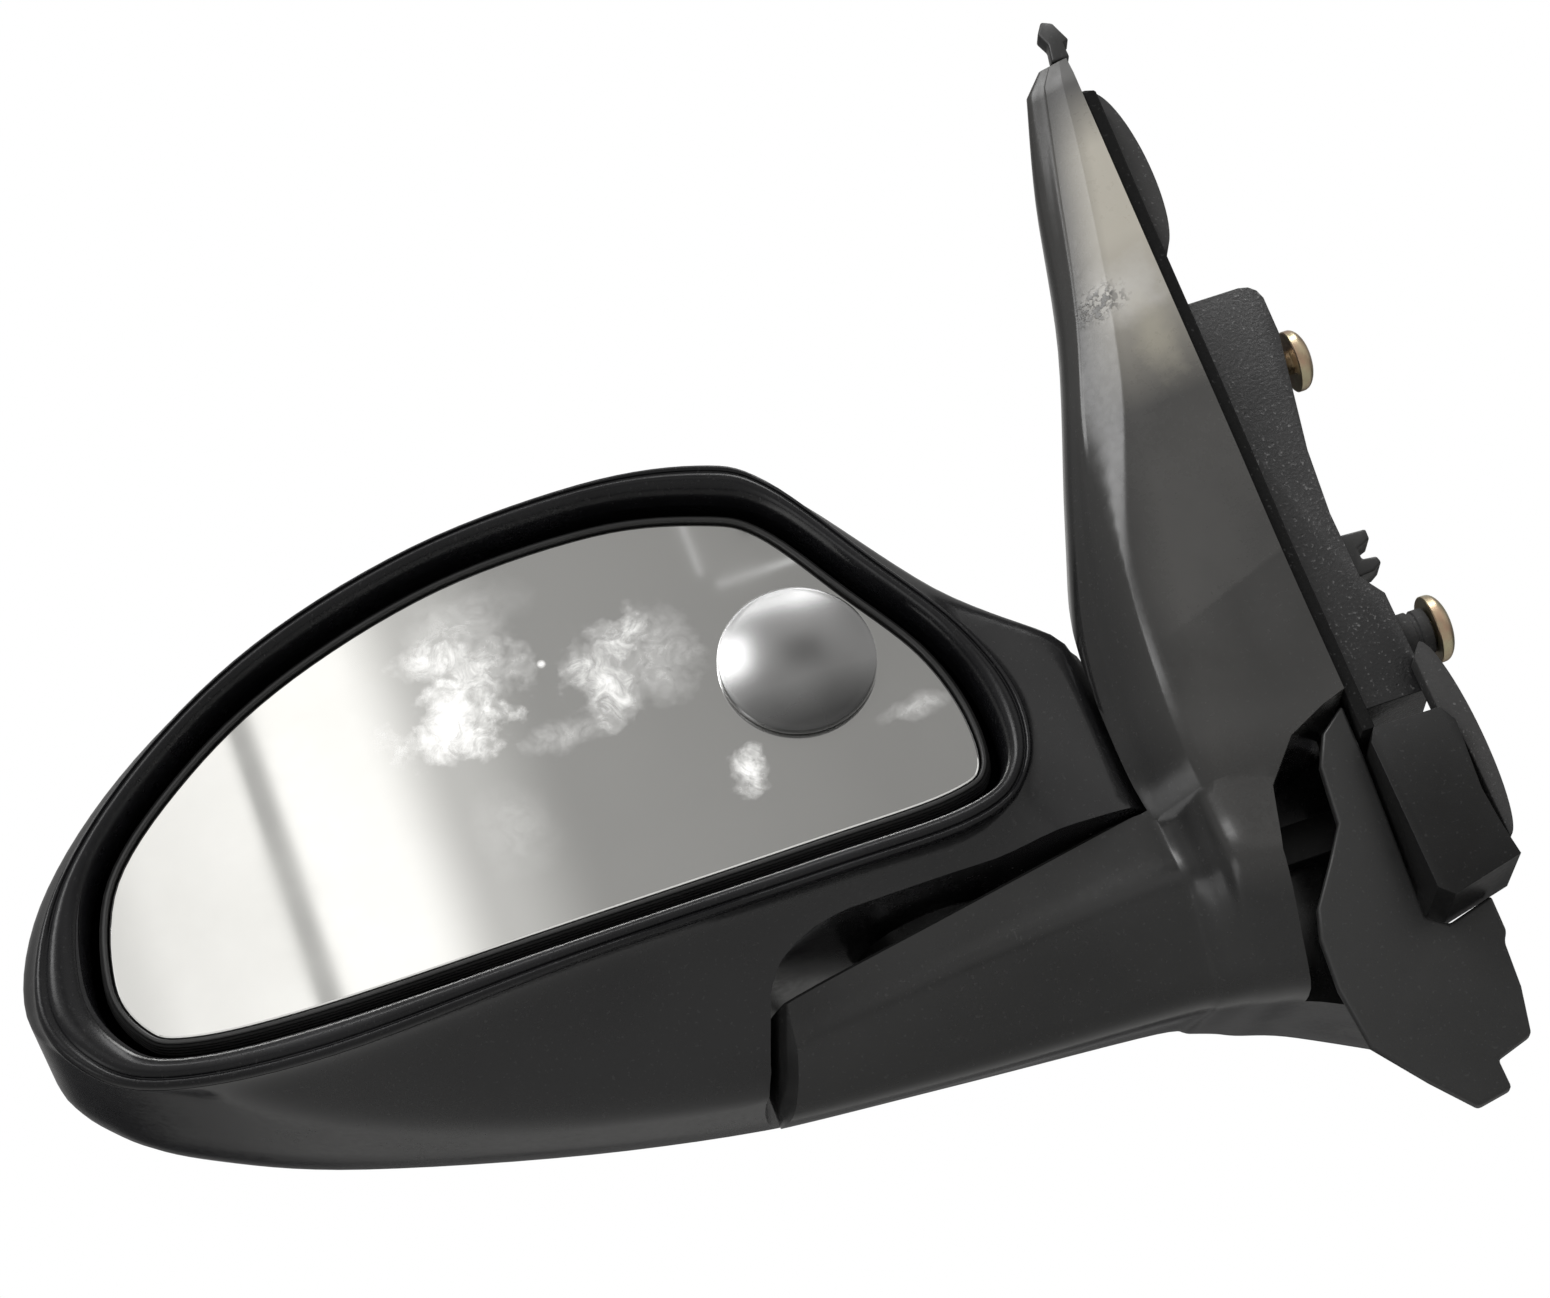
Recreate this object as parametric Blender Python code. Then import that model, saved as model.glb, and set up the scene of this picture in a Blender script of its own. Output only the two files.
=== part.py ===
"""Left-hand car door mirror: fixed base, folding head and electrically tilted glass.

Frame: X inboard (towards the car), Y forwards, Z up.  The glass faces -Y.  The door's sheet metal
is the plane X = 0, where the gasket meets it.  Lengths below are in millimetres and are turned
into metres when a mesh is made.
"""

import math

import bmesh
import bpy
from mathutils import Matrix, Vector

MM = 0.001
GAP = 0.3  # clearance kept between touching pieces
WALL = 2.4  # moulded wall thickness
WELD = 2e-6  # metres; vertices nearer than this are one

# Fold pivot: a vertical axis in the arm.
PIVOT = (-88.0, 44.0)
HEAD_END_R = 52.0  # inboard end of the head, a cylinder about the pivot
RECESS_R = 54.0  # wall of the base that faces it
RECESS_TOP = 80.0
RECESS_FLOOR = -5.0
STEP_R = 45.0  # step in the head's underside, a cylinder about the pivot
ARM_TIP_R = 43.0
HEAD_FLOOR = -3.5  # underside of the head above the arm
STEP_END_X = -112.0

# Glass pivot: the centre of the gimbal.
GLASS_PIVOT = (-158.0, 22.0, 50.0)
LEVER = 25.0  # distance from the gimbal to each jack spindle

# Head outline (X, Z), anticlockwise seen along +Y from the bottom outboard corner.
RIM = [(-242, 3), (-211, -1), (-160, 1), (-110, 1), (-78, 1.5), (-65, 9), (-61, 24), (-66, 42),
       (-78, 63), (-92, 86), (-104, 94), (-128, 98), (-164, 96), (-200, 86), (-230, 69),
       (-252, 48), (-261, 27), (-256, 12)]
BODY = [(-240, 4.5), (-212, -7.5), (-160, -22), (-112, -30), (-66, -30), (-40, -16), (-38, 20),
        (-46, 35), (-66, 54), (-88, 85), (-103, 95), (-128, 100), (-165, 98), (-202, 88),
        (-233, 71), (-255, 50), (-263.5, 29), (-255.5, 15)]
OPENING = [(-236, 9), (-210, 6.5), (-160, 6.5), (-110, 6.5), (-80, 7), (-69.5, 12), (-67.5, 26),
           (-71.5, 43), (-81.7, 61), (-93.5, 80), (-105, 87.5), (-128, 93), (-162, 92), (-196, 83),
           (-222, 69.5), (-243, 51), (-250, 29), (-246, 15)]
POINTS_PER_SPAN = 2
MOUTH_Y = 6.3
FULL_Y = 13.0  # where the housing reaches its full width
BELLY_FULL_Y = 36.0  # where its underside, which slopes more, does
BELLY_TOP = 6.0  # the underside's slope fades out above this height
BELLY_FADE = 24.0
CORNER_X = -45.0  # and towards the inboard corner
CORNER_FADE = 25.0
WAIST_Y = 45.0  # from here the housing closes towards the front
NOSE_Y = 88.0
NOSE_POWER = 2.6
NOSE_CENTRE = (-150.0, 38.0)
HEAD_LEVELS = (MOUTH_Y, 8.5, 10.5, FULL_Y, 18, 24, 30, BELLY_FULL_Y, WAIST_Y, 58, 68, 76, 82, 86,
               87.6)
RIM_WALL = 1.1  # wall of the rim that runs in beside the glass
RIM_DEPTH = 15.0  # Y of that wall's inner end

# Frame inside the head and the screws, at (X, Z), that hold it to the housing's posts.
FRAME_SCREWS = [(-222, 52), (-150, -6), (-106, 62)]
FRAME_Y = 58.0
FRAME_THICK = 3.0
POST_R = 4.5
PILOT_R = 2.3
BORE_R = 7.4  # the frame and the bracket turn about the stem in bores of this size

# Actuator: a round case centred on the glass pivot, with two gears, worms and motors.
CX, CY, CZ = GLASS_PIVOT
CASE_R = 43.7
CASE_WALL = 2.0
CASE_FRONT = 30.0  # inside of the cover's floor
CASE_SPLIT = 40.0
CASE_SCREW_R = 38.0  # circle the case's three screws stand on
CASE_SCREW_ANGLES = (135, 235, 350)
SCREW_HOLE_R = 2.0
PIN_R = 2.0  # pins of the gimbal cross
PIN_BORE_R = 2.3
LUG_NEAR = 5.2  # gimbal lugs, measured from the glass pivot along the pin
LUG_FAR = 8.2
GEAR_Y = 43.0
GEAR_R = 11.0
GEAR_TEETH = 24
TOOTH_DEPTH = 1.4
WORM_R = 3.3
WORM_OFFSET = GEAR_R + WORM_R + 0.5
WORM_TURNS = 5
WORM_PITCH = 2.4
MOTOR_R = 8.5

# Glass and its holder, measured inwards from OPENING.
GLASS_INSET = 4.3
LIP_INSET = 4.0
HOLDER_INSET = 2.2
GLASS_Y = 10.0
GLASS_THICK = 2.0
PAD_INSET = 6.0
HOLDER_FLOOR = 13.2
HOLDER_BACK = 15.2
SPOT_AT = (-99.0, 48.0)  # centre of the blind-spot mirror, X and Z

# Sail of the base: Z, rear edge Y, crease X and Y, outer corner X and Y, front edge Y.
SAIL = [(-16, -3, -33, 6.5, -47, 24, 122), (0, -4, -36, 0, -49, 16, 118),
        (30, -5, -34, -1, -46, 13, 96), (60, -7.5, -29, -3.5, -37, 8, 72),
        (95, -9.5, -18, -6, -25, 3, 44), (125, -11.5, -10.5, -9.5, -18.5, -3, 20),
        (145, -13, -6.5, -12, -13, -8.5, 3), (149, -12.5, -5, -12, -9, -10, -2)]
SAIL_EDGE_X = -3.0

# Arm of the base: X, then (Y, Z) of rear top edge, rear bulge, bottom, front bulge, front top edge.
ARM = [(-138, (26, -17), (28, -26), (36, -32), (54, -27), (62, -16)),
       (-122, (20, -14.5), (22, -25), (32, -35), (56, -28), (66, -13)),
       (-89, (16, -10), (17, -23), (30, -38), (62, -29), (73, -10)),
       (-50, (12, -4.5), (12, -22), (28, -40.5), (68, -30.5), (82, -6)),
       (-43, (10.5, -4), (11, -23), (26.5, -42), (69, -32.5), (87, -5.5)),
       (-38, (5, -3.5), (6.5, -24), (24, -43.5), (70, -34), (90, -5.2)),
       (-34, (1.6, -3), (2.6, -25), (22.5, -45), (71, -35.5), (92, -5)),
       (-24, (0.6, -3), (1.4, -27), (21.5, -48), (72, -39), (98, -5)),
       (-6, (0, -3), (0, -30), (18, -58), (72, -49), (110, -4))]
NOTCH_DEPTH = 30.0  # how far forward the cut for the lower block reaches

# Fixing to the door.
SCREW_Y = 12.0
SCREW_Z = (78.5, 12.5)
SCREW_R = 3.0
SCREW_BORE_R = 3.3
CABLE_AT = (0.0, 42.0, 32.0)
CABLE_BORE_R = 6.0
GASKET = [(112, -8.5), (110, -2), (-6, 144), (-12, 140), (-9.5, 113), (-6.5, 67), (-3.5, 33),
          (-2.5, 0), (-2.2, -8.5)]
GASKET_WIDE = 4.0
GASKET_THICK = 2.7
FLAP_RAKE = 0.25  # the tail flap leans forwards by this much for each unit of height

MATERIALS = {
    "gloss_black": ((0.020, 0.021, 0.022), 0.18, 0.0),
    "satin_black": ((0.028, 0.029, 0.030), 0.45, 0.0),
    "cast_black": ((0.045, 0.045, 0.046), 0.65, 0.3),
    "rubber": ((0.030, 0.030, 0.031), 0.85, 0.0),
    "white_plastic": ((0.700, 0.690, 0.650), 0.45, 0.0),
    "zinc_yellow": ((0.720, 0.560, 0.260), 0.28, 1.0),
    "steel": ((0.560, 0.570, 0.580), 0.30, 1.0),
    "brass": ((0.720, 0.540, 0.240), 0.35, 1.0),
    "aluminium": ((0.620, 0.630, 0.640), 0.45, 1.0),
    "mirror": ((0.850, 0.850, 0.850), 0.02, 1.0),
}


def clear_scene():
    """Remove every object that is in the scene."""
    for item in list(bpy.data.objects):
        bpy.data.objects.remove(item)


def material(name):
    """Return the Principled material of that name, making it the first time."""
    found = bpy.data.materials.get(name)
    if found:
        return found
    colour, roughness, metallic = MATERIALS[name]
    made = bpy.data.materials.new(name)
    made.use_nodes = True
    shader = made.node_tree.nodes["Principled BSDF"]
    shader.inputs["Base Color"].default_value = (*colour, 1.0)
    shader.inputs["Roughness"].default_value = roughness
    shader.inputs["Metallic"].default_value = metallic
    return made


def smooth_step(value):
    """Ease from 0 to 1 as value goes from 0 to 1."""
    value = min(max(value, 0.0), 1.0)
    return value * value * (3.0 - 2.0 * value)


def lerp(start, end, share):
    """Point a share of the way from start to end."""
    return tuple(a + (b - a) * share for a, b in zip(start, end))


def spline_loop(points, per_span=POINTS_PER_SPAN):
    """Closed Catmull-Rom curve through 2-D points."""
    count = len(points)
    curve = []
    for index in range(count):
        before, start, end, after = (points[(index + step) % count] for step in (-1, 0, 1, 2))
        for part in range(per_span):
            t = part / per_span
            curve.append(tuple(0.5 * (2 * b + (c - a) * t + (2 * a - 5 * b + 4 * c - d) * t * t
                                      + (3 * b - a - 3 * c + d) * t ** 3)
                               for a, b, c, d in zip(before, start, end, after)))
    return curve


def offset_loop(points, distance):
    """Move an anticlockwise closed 2-D outline inwards by distance, with mitred corners."""
    count = len(points)
    moved = []
    for index in range(count):
        before, here, after = (Vector(points[(index + step) % count]) for step in (-1, 0, 1))
        first = (here - before).normalized()
        second = (after - here).normalized()
        normal_a = Vector((-first.y, first.x))
        normal_b = Vector((-second.y, second.x))
        shift = (normal_a + normal_b) / (1.0 + normal_a.dot(normal_b))
        moved.append(tuple(here + shift * distance))
    return moved


def finish_object(name, mesh_data, slot, smooth_angle=35.0):
    """Write a bmesh as a named object with its faces pointing out."""
    bmesh.ops.remove_doubles(mesh_data, verts=mesh_data.verts, dist=1e-7)
    bmesh.ops.recalc_face_normals(mesh_data, faces=mesh_data.faces)
    mesh = bpy.data.meshes.new(name)
    mesh_data.to_mesh(mesh)
    mesh_data.free()
    mesh.materials.append(material(slot))
    mesh.shade_smooth()
    mesh.set_sharp_from_angle(angle=math.radians(smooth_angle))
    made = bpy.data.objects.new(name, mesh)
    bpy.context.collection.objects.link(made)
    return made


def loft(name, rings, slot, ends="cap"):
    """Skin closed rings of 3-D points; ends is "cap" for flat ends or "join" for a torus."""
    mesh_data = bmesh.new()
    rows = [[mesh_data.verts.new([value * MM for value in point]) for point in ring]
            for ring in rings]
    count = len(rows[0])
    pairs = list(zip(rows, rows[1:]))
    if ends == "join":
        pairs.append((rows[-1], rows[0]))
    for lower, upper in pairs:
        for index in range(count):
            following = (index + 1) % count
            mesh_data.faces.new((lower[index], lower[following], upper[following], upper[index]))
    if ends == "join":
        bmesh.ops.triangulate(mesh_data, faces=mesh_data.faces)
    else:
        mesh_data.faces.new(rows[0])
        mesh_data.faces.new(rows[-1])
    return finish_object(name, mesh_data, slot)


def prism(name, outline, axis, low, high, slot):
    """Extrude a 2-D outline along X, Y or Z; the outline gives the other two, in that order."""
    place = {"X": lambda a, b, c: (c, a, b), "Y": lambda a, b, c: (a, c, b),
             "Z": lambda a, b, c: (a, b, c)}[axis]
    rings = [[place(a, b, level) for a, b in outline] for level in (low, high)]
    return loft(name, rings, slot)


def box(name, low, high, slot):
    """Box between two corners."""
    outline = [(low[0], low[1]), (high[0], low[1]), (high[0], high[1]), (low[0], high[1])]
    return prism(name, outline, "Z", low[2], high[2], slot)


def turned(name, profile, origin, axis, slot, segments=24):
    """Turn a closed profile of (radius, height) about an axis through origin."""
    turn = Vector((0, 0, 1)).rotation_difference(Vector(axis)).to_matrix()
    centre = Vector(origin)
    mesh_data = bmesh.new()
    columns = []
    for step in range(segments):
        angle = math.tau * step / segments
        columns.append([mesh_data.verts.new((centre + turn @ Vector(
            (r * math.cos(angle), r * math.sin(angle), h))) * MM) for r, h in profile])
    count = len(profile)
    for step in range(segments):
        left, right = columns[step], columns[(step + 1) % segments]
        for index in range(count):
            following = (index + 1) % count
            if profile[index][0] == 0 and profile[following][0] == 0:
                continue
            mesh_data.faces.new((left[index], left[following], right[following], right[index]))
    bmesh.ops.remove_doubles(mesh_data, verts=mesh_data.verts, dist=1e-7)
    bmesh.ops.dissolve_degenerate(mesh_data, edges=mesh_data.edges, dist=1e-7)
    return finish_object(name, mesh_data, slot)


def cylinder(name, origin, axis, radius, low, high, slot="steel", segments=24):
    """Plain cylinder between two heights along an axis."""
    profile = [(0, low), (radius, low), (radius, high), (0, high)]
    return turned(name, profile, origin, axis, slot, segments)


def ring(name, origin, axis, inner, outer, low, high, slot, segments=24):
    """Flat washer or tube between two heights along an axis."""
    profile = [(inner, low), (outer, low), (outer, high), (inner, high)]
    return turned(name, profile, origin, axis, slot, segments)


def combine(target, tool, operation):
    """Apply an exact boolean to target, weld the result and remove the tool."""
    cut = target.modifiers.new(operation.title(), "BOOLEAN")
    cut.operation = operation
    cut.solver = "EXACT"
    cut.object = tool
    depsgraph = bpy.context.evaluated_depsgraph_get()
    mesh = bpy.data.meshes.new_from_object(target.evaluated_get(depsgraph))
    mesh_data = bmesh.new()
    mesh_data.from_mesh(mesh)
    bmesh.ops.remove_doubles(mesh_data, verts=mesh_data.verts, dist=WELD)
    bmesh.ops.dissolve_degenerate(mesh_data, edges=mesh_data.edges, dist=WELD)
    bmesh.ops.triangulate(mesh_data, faces=mesh_data.faces)
    mesh_data.to_mesh(mesh)
    mesh_data.free()
    target.modifiers.clear()
    target.data = mesh
    bpy.data.objects.remove(tool)
    return target


def joint_empty(name, position, parent=None):
    """Empty on a joint's axis that carries the pieces which move with it."""
    made = bpy.data.objects.new(name, None)
    made.empty_display_size = 0.02
    made.matrix_world = Matrix.Translation(Vector(position) * MM)
    bpy.context.collection.objects.link(made)
    if parent:
        attach([made], parent)
    return made


def attach(pieces, parent):
    """Parent pieces to an empty and leave them where they are."""
    bpy.context.view_layer.update()
    for piece in pieces:
        piece.parent = parent
        piece.matrix_parent_inverse = parent.matrix_world.inverted()


# ---------------------------------------------------------------- folding head

def head_outline(depth):
    """Outline (X, Z) of the housing's outside at depth Y."""
    closing = max(depth - WAIST_Y, 0.0) / (NOSE_Y - WAIST_Y)
    scale = (1.0 - closing ** NOSE_POWER) ** (1.0 / NOSE_POWER)
    reach = PIVOT[0] + math.sqrt(HEAD_END_R ** 2 - (depth - PIVOT[1]) ** 2)
    outline = []
    for rim_point, body_point in zip(spline_loop(RIM), spline_loop(BODY)):
        belly = smooth_step((BELLY_TOP - body_point[1]) / BELLY_FADE)
        belly *= smooth_step((CORNER_X - body_point[0]) / CORNER_FADE)
        full = FULL_Y + (BELLY_FULL_Y - FULL_Y) * belly
        spread = smooth_step((depth - MOUTH_Y) / (full - MOUTH_Y))
        x, z = lerp(NOSE_CENTRE, lerp(rim_point, body_point, spread), scale)
        outline.append((min(x, reach), z))
    return outline


def head_solid(name, inset):
    """Housing as a solid, inset from its outside; an inset solid also runs out of the mouth."""
    rings = []
    for depth in HEAD_LEVELS:
        outline = offset_loop(head_outline(depth), inset) if inset else head_outline(depth)
        shift = inset * smooth_step((depth - FULL_Y) / (WAIST_Y - FULL_Y))
        rings.append([(x, depth - shift, z) for x, z in outline])
    if inset:
        rings.insert(0, [(x, y - 5.0, z) for x, y, z in rings[0]])
    return loft(name, rings, "gloss_black")


def cut_step(solid, grow, sides=16):
    """Cut away the space under the head that the arm fills: round the pivot and inboard of it."""
    radius, flat_x, wide = STEP_R + grow, STEP_END_X - grow, 150.0
    half = math.acos((flat_x - PIVOT[0]) / radius)
    outline = [(flat_x, PIVOT[1] - wide), (20, PIVOT[1] - wide), (20, PIVOT[1] + wide),
               (flat_x, PIVOT[1] + wide)]
    for step in range(sides + 1):
        angle = half + (math.tau - 2 * half) * step / sides
        outline.append((PIVOT[0] + radius * math.cos(angle), PIVOT[1] + radius * math.sin(angle)))
    space = prism("arm_space", outline, "Z", -90, HEAD_FLOOR + grow, "steel")
    return combine(solid, space, "DIFFERENCE")


def make_housing_shell():
    """Painted outer shell of the head, open towards the glass."""
    shell = cut_step(head_solid("housing_shell", 0), 0)
    combine(shell, cut_step(head_solid("hollow", WALL), WALL), "DIFFERENCE")
    hole = cylinder("stem_hole", (*PIVOT, 0), (0, 0, 1), 14.0, -8, 2)
    combine(shell, hole, "DIFFERENCE")
    for x, z in FRAME_SCREWS:
        front = 84.0 if x > -200 else 78.0
        post = cylinder("post", (x, 0, z), (0, 1, 0), POST_R,
                        FRAME_Y + FRAME_THICK + GAP, front, segments=12)
        combine(post, head_solid("limit", WALL / 2), "INTERSECT")
        combine(shell, post, "UNION")
        pilot = cylinder("pilot", (x, 0, z), (0, 1, 0), PILOT_R, 50, 70, segments=12)
        combine(shell, pilot, "DIFFERENCE")
    return shell


def make_rim_bezel():
    """Rounded rim round the mouth, with a wall that runs in to the glass holder."""
    outer = spline_loop(RIM)
    opening = spline_loop(OPENING)
    back = MOUTH_Y - GAP
    deep = offset_loop(opening, -RIM_WALL)
    sections = [(0.0, back), (0.06, 4.8), (0.25, 4.0), (0.68, 4.3), (0.93, back), (1.0, RIM_DEPTH)]
    rings = [[(*lerp(start, end, share), y) for start, end in zip(outer, opening)]
             for share, y in sections]
    rings += [[(*point, depth) for point in deep] for depth in (RIM_DEPTH, back)]
    rings = [[(x, y, z) for x, z, y in outline] for outline in rings]
    return loft("rim_bezel", rings, "satin_black", ends="join")


def make_head_frame():
    """Frame inside the housing: pivot boss, web and the plate that holds the actuator."""
    near, far = FRAME_Y, FRAME_Y + FRAME_THICK
    outline = [(-230, 46), (-224, 58), (-190, 72), (-158, 86), (-136, 84), (-104, 70),
               (-92, 40), (-80, 12), (-80, 4), (-138, 2), (-142, -12), (-158, -12),
               (-162, 4), (-190, 14), (-224, 42)]
    frame = prism("head_frame", outline[::-1], "Y", near, far, "aluminium")
    web = box("web", (-98, 50, 4), (-80, near + 1, 11), "aluminium")
    combine(frame, web, "UNION")
    boss = cylinder("boss", (*PIVOT, 0), (0, 0, 1), 12.0, 3.6, 11.0)
    combine(frame, boss, "UNION")
    bore = cylinder("bore", (*PIVOT, 0), (0, 0, 1), BORE_R, -5, 30)
    combine(frame, bore, "DIFFERENCE")
    for x, z in FRAME_SCREWS:
        hole = cylinder("hole", (x, 0, z), (0, 1, 0), 2.5, 40, 70, segments=12)
        combine(frame, hole, "DIFFERENCE")
    for x, z in actuator_screw_places():
        hole = cylinder("hole", (x, 0, z), (0, 1, 0), SCREW_HOLE_R, 40, 70, segments=12)
        combine(frame, hole, "DIFFERENCE")
    return frame


def screw(name, place, axis, shank_r, shank_long, head_r, head_high, slot):
    """Domed screw whose head sits on place and whose shank runs against axis."""
    profile = [(0, -shank_long), (shank_r * 0.6, -shank_long), (shank_r, -shank_long + 1.5),
               (shank_r, 0), (head_r, 0), (head_r, head_high * 0.35),
               (head_r * 0.82, head_high * 0.75), (head_r * 0.45, head_high), (0, head_high)]
    return turned(name, profile, place, axis, slot, 16)


# ---------------------------------------------------------------- glass actuator

def actuator_screw_places():
    """Three screws round the actuator's case."""
    return [(CX + CASE_SCREW_R * math.cos(a), CZ + CASE_SCREW_R * math.sin(a))
            for a in (math.radians(degrees) for degrees in CASE_SCREW_ANGLES)]


def make_actuator_base():
    """Half of the actuator's case that is screwed to the frame."""
    back = FRAME_Y - GAP
    inner = CASE_R - CASE_WALL
    profile = [(0, back - 2.2), (inner, back - 2.2), (inner, CASE_SPLIT),
               (CASE_R, CASE_SPLIT), (CASE_R, back), (0, back)]
    case = turned("actuator_base", profile, (CX, 0, CZ), (0, 1, 0), "white_plastic", 40)
    for x, z in actuator_screw_places():
        hole = cylinder("hole", (x, 0, z), (0, 1, 0), SCREW_HOLE_R, 50, 62, segments=12)
        combine(case, hole, "DIFFERENCE")
    return case


def make_actuator_cover():
    """Half of the case towards the glass, with the two lugs that carry the gimbal."""
    top = CASE_SPLIT - GAP
    inner = CASE_R - CASE_WALL
    face = CASE_FRONT - CASE_WALL
    profile = [(0, face), (CASE_R - 6, face), (CASE_R, face + 6), (CASE_R, top), (inner, top),
               (inner, CASE_FRONT + 5), (inner - 5, CASE_FRONT), (0, CASE_FRONT)]
    case = turned("actuator_cover", profile, (CX, 0, CZ), (0, 1, 0), "white_plastic", 40)
    for side in (-1, 1):
        low, high = sorted((CZ + side * LUG_NEAR, CZ + side * LUG_FAR))
        lug = box("lug", (CX - 4, CY - 3.5, low), (CX + 4, CASE_FRONT - 1, high), "white_plastic")
        combine(case, lug, "UNION")
    bore = cylinder("bore", (CX, CY, 0), (0, 0, 1), PIN_BORE_R, CZ - 9, CZ + 9, segments=16)
    combine(case, bore, "DIFFERENCE")
    for x, z in ((CX + LEVER, CZ), (CX, CZ - LEVER)):
        hole = cylinder("hole", (x, 0, z), (0, 1, 0), 4.2, 20, 35, segments=16)
        combine(case, hole, "DIFFERENCE")
    return case


def make_gimbal_cross():
    """Cross whose upright pins turn in the actuator and whose level pins carry the holder."""
    block = box("gimbal_cross", (CX - 4.6, CY - 3, CZ - 4.6), (CX + 4.6, CY + 3, CZ + 4.6),
                "white_plastic")
    upright = cylinder("pin", (CX, CY, 0), (0, 0, 1), PIN_R, CZ - 8, CZ + 8, segments=16)
    combine(block, upright, "UNION")
    level = cylinder("pin", (0, CY, CZ), (1, 0, 0), PIN_R, CX - 8, CX + 8, segments=16)
    return combine(block, level, "UNION")


def gear_outline(centre, radius, teeth, depth):
    """Toothed outline about a centre."""
    points = []
    for tooth in range(teeth):
        for share, r in ((0.0, radius - depth), (0.3, radius), (0.6, radius), (0.9, radius - depth)):
            angle = math.tau * (tooth + share) / teeth
            points.append((centre[0] + r * math.cos(angle), centre[1] + r * math.sin(angle)))
    return points


def make_drive(name, spindle_at, worm_axis):
    """Jack spindle, the gear that screws it in and out, its worm and its motor."""
    x, z = spindle_at
    spindle_profile = [(0, 16.2), (2.2, 16.8), (3.4, 19.5), (2.6, 21.8), (2.0, 23.0), (2.9, 25.0),
                       (2.9, 52.0), (0, 52.0)]
    spindle = turned(f"spindle_{name}", spindle_profile, (x, 0, z), (0, 1, 0), "white_plastic", 16)
    gear = prism(f"drive_gear_{name}", gear_outline((x, z), GEAR_R, GEAR_TEETH, TOOTH_DEPTH), "Y",
                 GEAR_Y - 2.5, GEAR_Y + 2.5, "white_plastic")
    hub = cylinder("hub", (x, 0, z), (0, 1, 0), 5.5, GEAR_Y - 6, GEAR_Y + 6, segments=16)
    combine(gear, hub, "UNION")
    bore = cylinder("bore", (x, 0, z), (0, 1, 0), 3.3, 30, 60, segments=16)
    combine(gear, bore, "DIFFERENCE")
    if worm_axis == "Z":
        origin, axis = (x - WORM_OFFSET, GEAR_Y, z), (0, 0, 1)
    else:
        origin, axis = (x, GEAR_Y, z + WORM_OFFSET), (-1, 0, 0)
    thread = [(0, -6.5)]
    for turn in range(WORM_TURNS):
        start = -6.0 + WORM_PITCH * turn
        thread += [(WORM_R - 1.0, start), (WORM_R, start + 0.6), (WORM_R, start + 1.2),
                   (WORM_R - 1.0, start + 1.8)]
    thread += [(1.0, 6.5), (1.0, 12.5), (0, 12.5)]
    worm = turned(f"worm_{name}", thread, origin, axis, "brass", 16)
    can = [(1.4, 9.5), (3.5, 9.5), (3.5, 13.0), (MOTOR_R, 13.0), (MOTOR_R, 36.5), (2.5, 37.0),
           (2.5, 38.0), (0, 38.0), (0, 13.2), (1.4, 13.2)]
    motor = turned(f"motor_{name}", can, origin, axis, "steel", 20)
    return spindle, gear, worm, motor


def holder_loop(inset):
    """Outline of the glass opening moved inwards."""
    return offset_loop(spline_loop(OPENING), inset)


def make_glass_holder():
    """Plastic tray with a lip round the glass, two gimbal lugs and two spindle sockets."""
    front = GLASS_Y - 0.8
    sections = [(HOLDER_INSET, HOLDER_BACK), (HOLDER_INSET, front + 0.5),
                (HOLDER_INSET + 0.6, front), (LIP_INSET - 0.2, front + 0.2),
                (LIP_INSET, HOLDER_FLOOR)]
    rings = [[(x, y, z) for x, z in holder_loop(inset)] for inset, y in sections]
    tray = loft("glass_holder", rings, "satin_black")
    for side in (-1, 1):
        low, high = sorted((CX + side * LUG_NEAR, CX + side * LUG_FAR))
        lug = box("lug", (low, HOLDER_BACK - 1, CZ - 4), (high, CY + 3.5, CZ + 4), "satin_black")
        combine(tray, lug, "UNION")
    bore = cylinder("bore", (0, CY, CZ), (1, 0, 0), PIN_BORE_R, CX - 9, CX + 9, segments=16)
    combine(tray, bore, "DIFFERENCE")
    for x, z in ((CX + LEVER, CZ), (CX, CZ - LEVER)):
        cup = ring("cup", (x, 0, z), (0, 1, 0), 4.9, 6.6, HOLDER_BACK - 1, 21.0, "satin_black",
                   20)
        combine(tray, cup, "UNION")
    return tray


def make_glass_parts():
    """Glass, its adhesive pad and the convex blind-spot mirror stuck on it."""
    pad = prism("adhesive_pad", holder_loop(PAD_INSET), "Y", GLASS_Y + GLASS_THICK + GAP,
                HOLDER_FLOOR - GAP, "rubber")
    glass = prism("mirror_glass", holder_loop(GLASS_INSET), "Y", GLASS_Y, GLASS_Y + GLASS_THICK,
                  "mirror")
    dome = [(0, 0.3), (15.6, 0.3), (16.0, 0.8), (16.0, 1.8), (15.2, 2.4), (11.5, 3.5), (6, 4.3),
            (0, 4.6)]
    spot = turned("blind_spot_mirror", dome, (SPOT_AT[0], GLASS_Y, SPOT_AT[1]), (0, -1, 0),
                  "mirror", 28)
    return pad, glass, spot


# ---------------------------------------------------------------- fixed base

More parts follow.
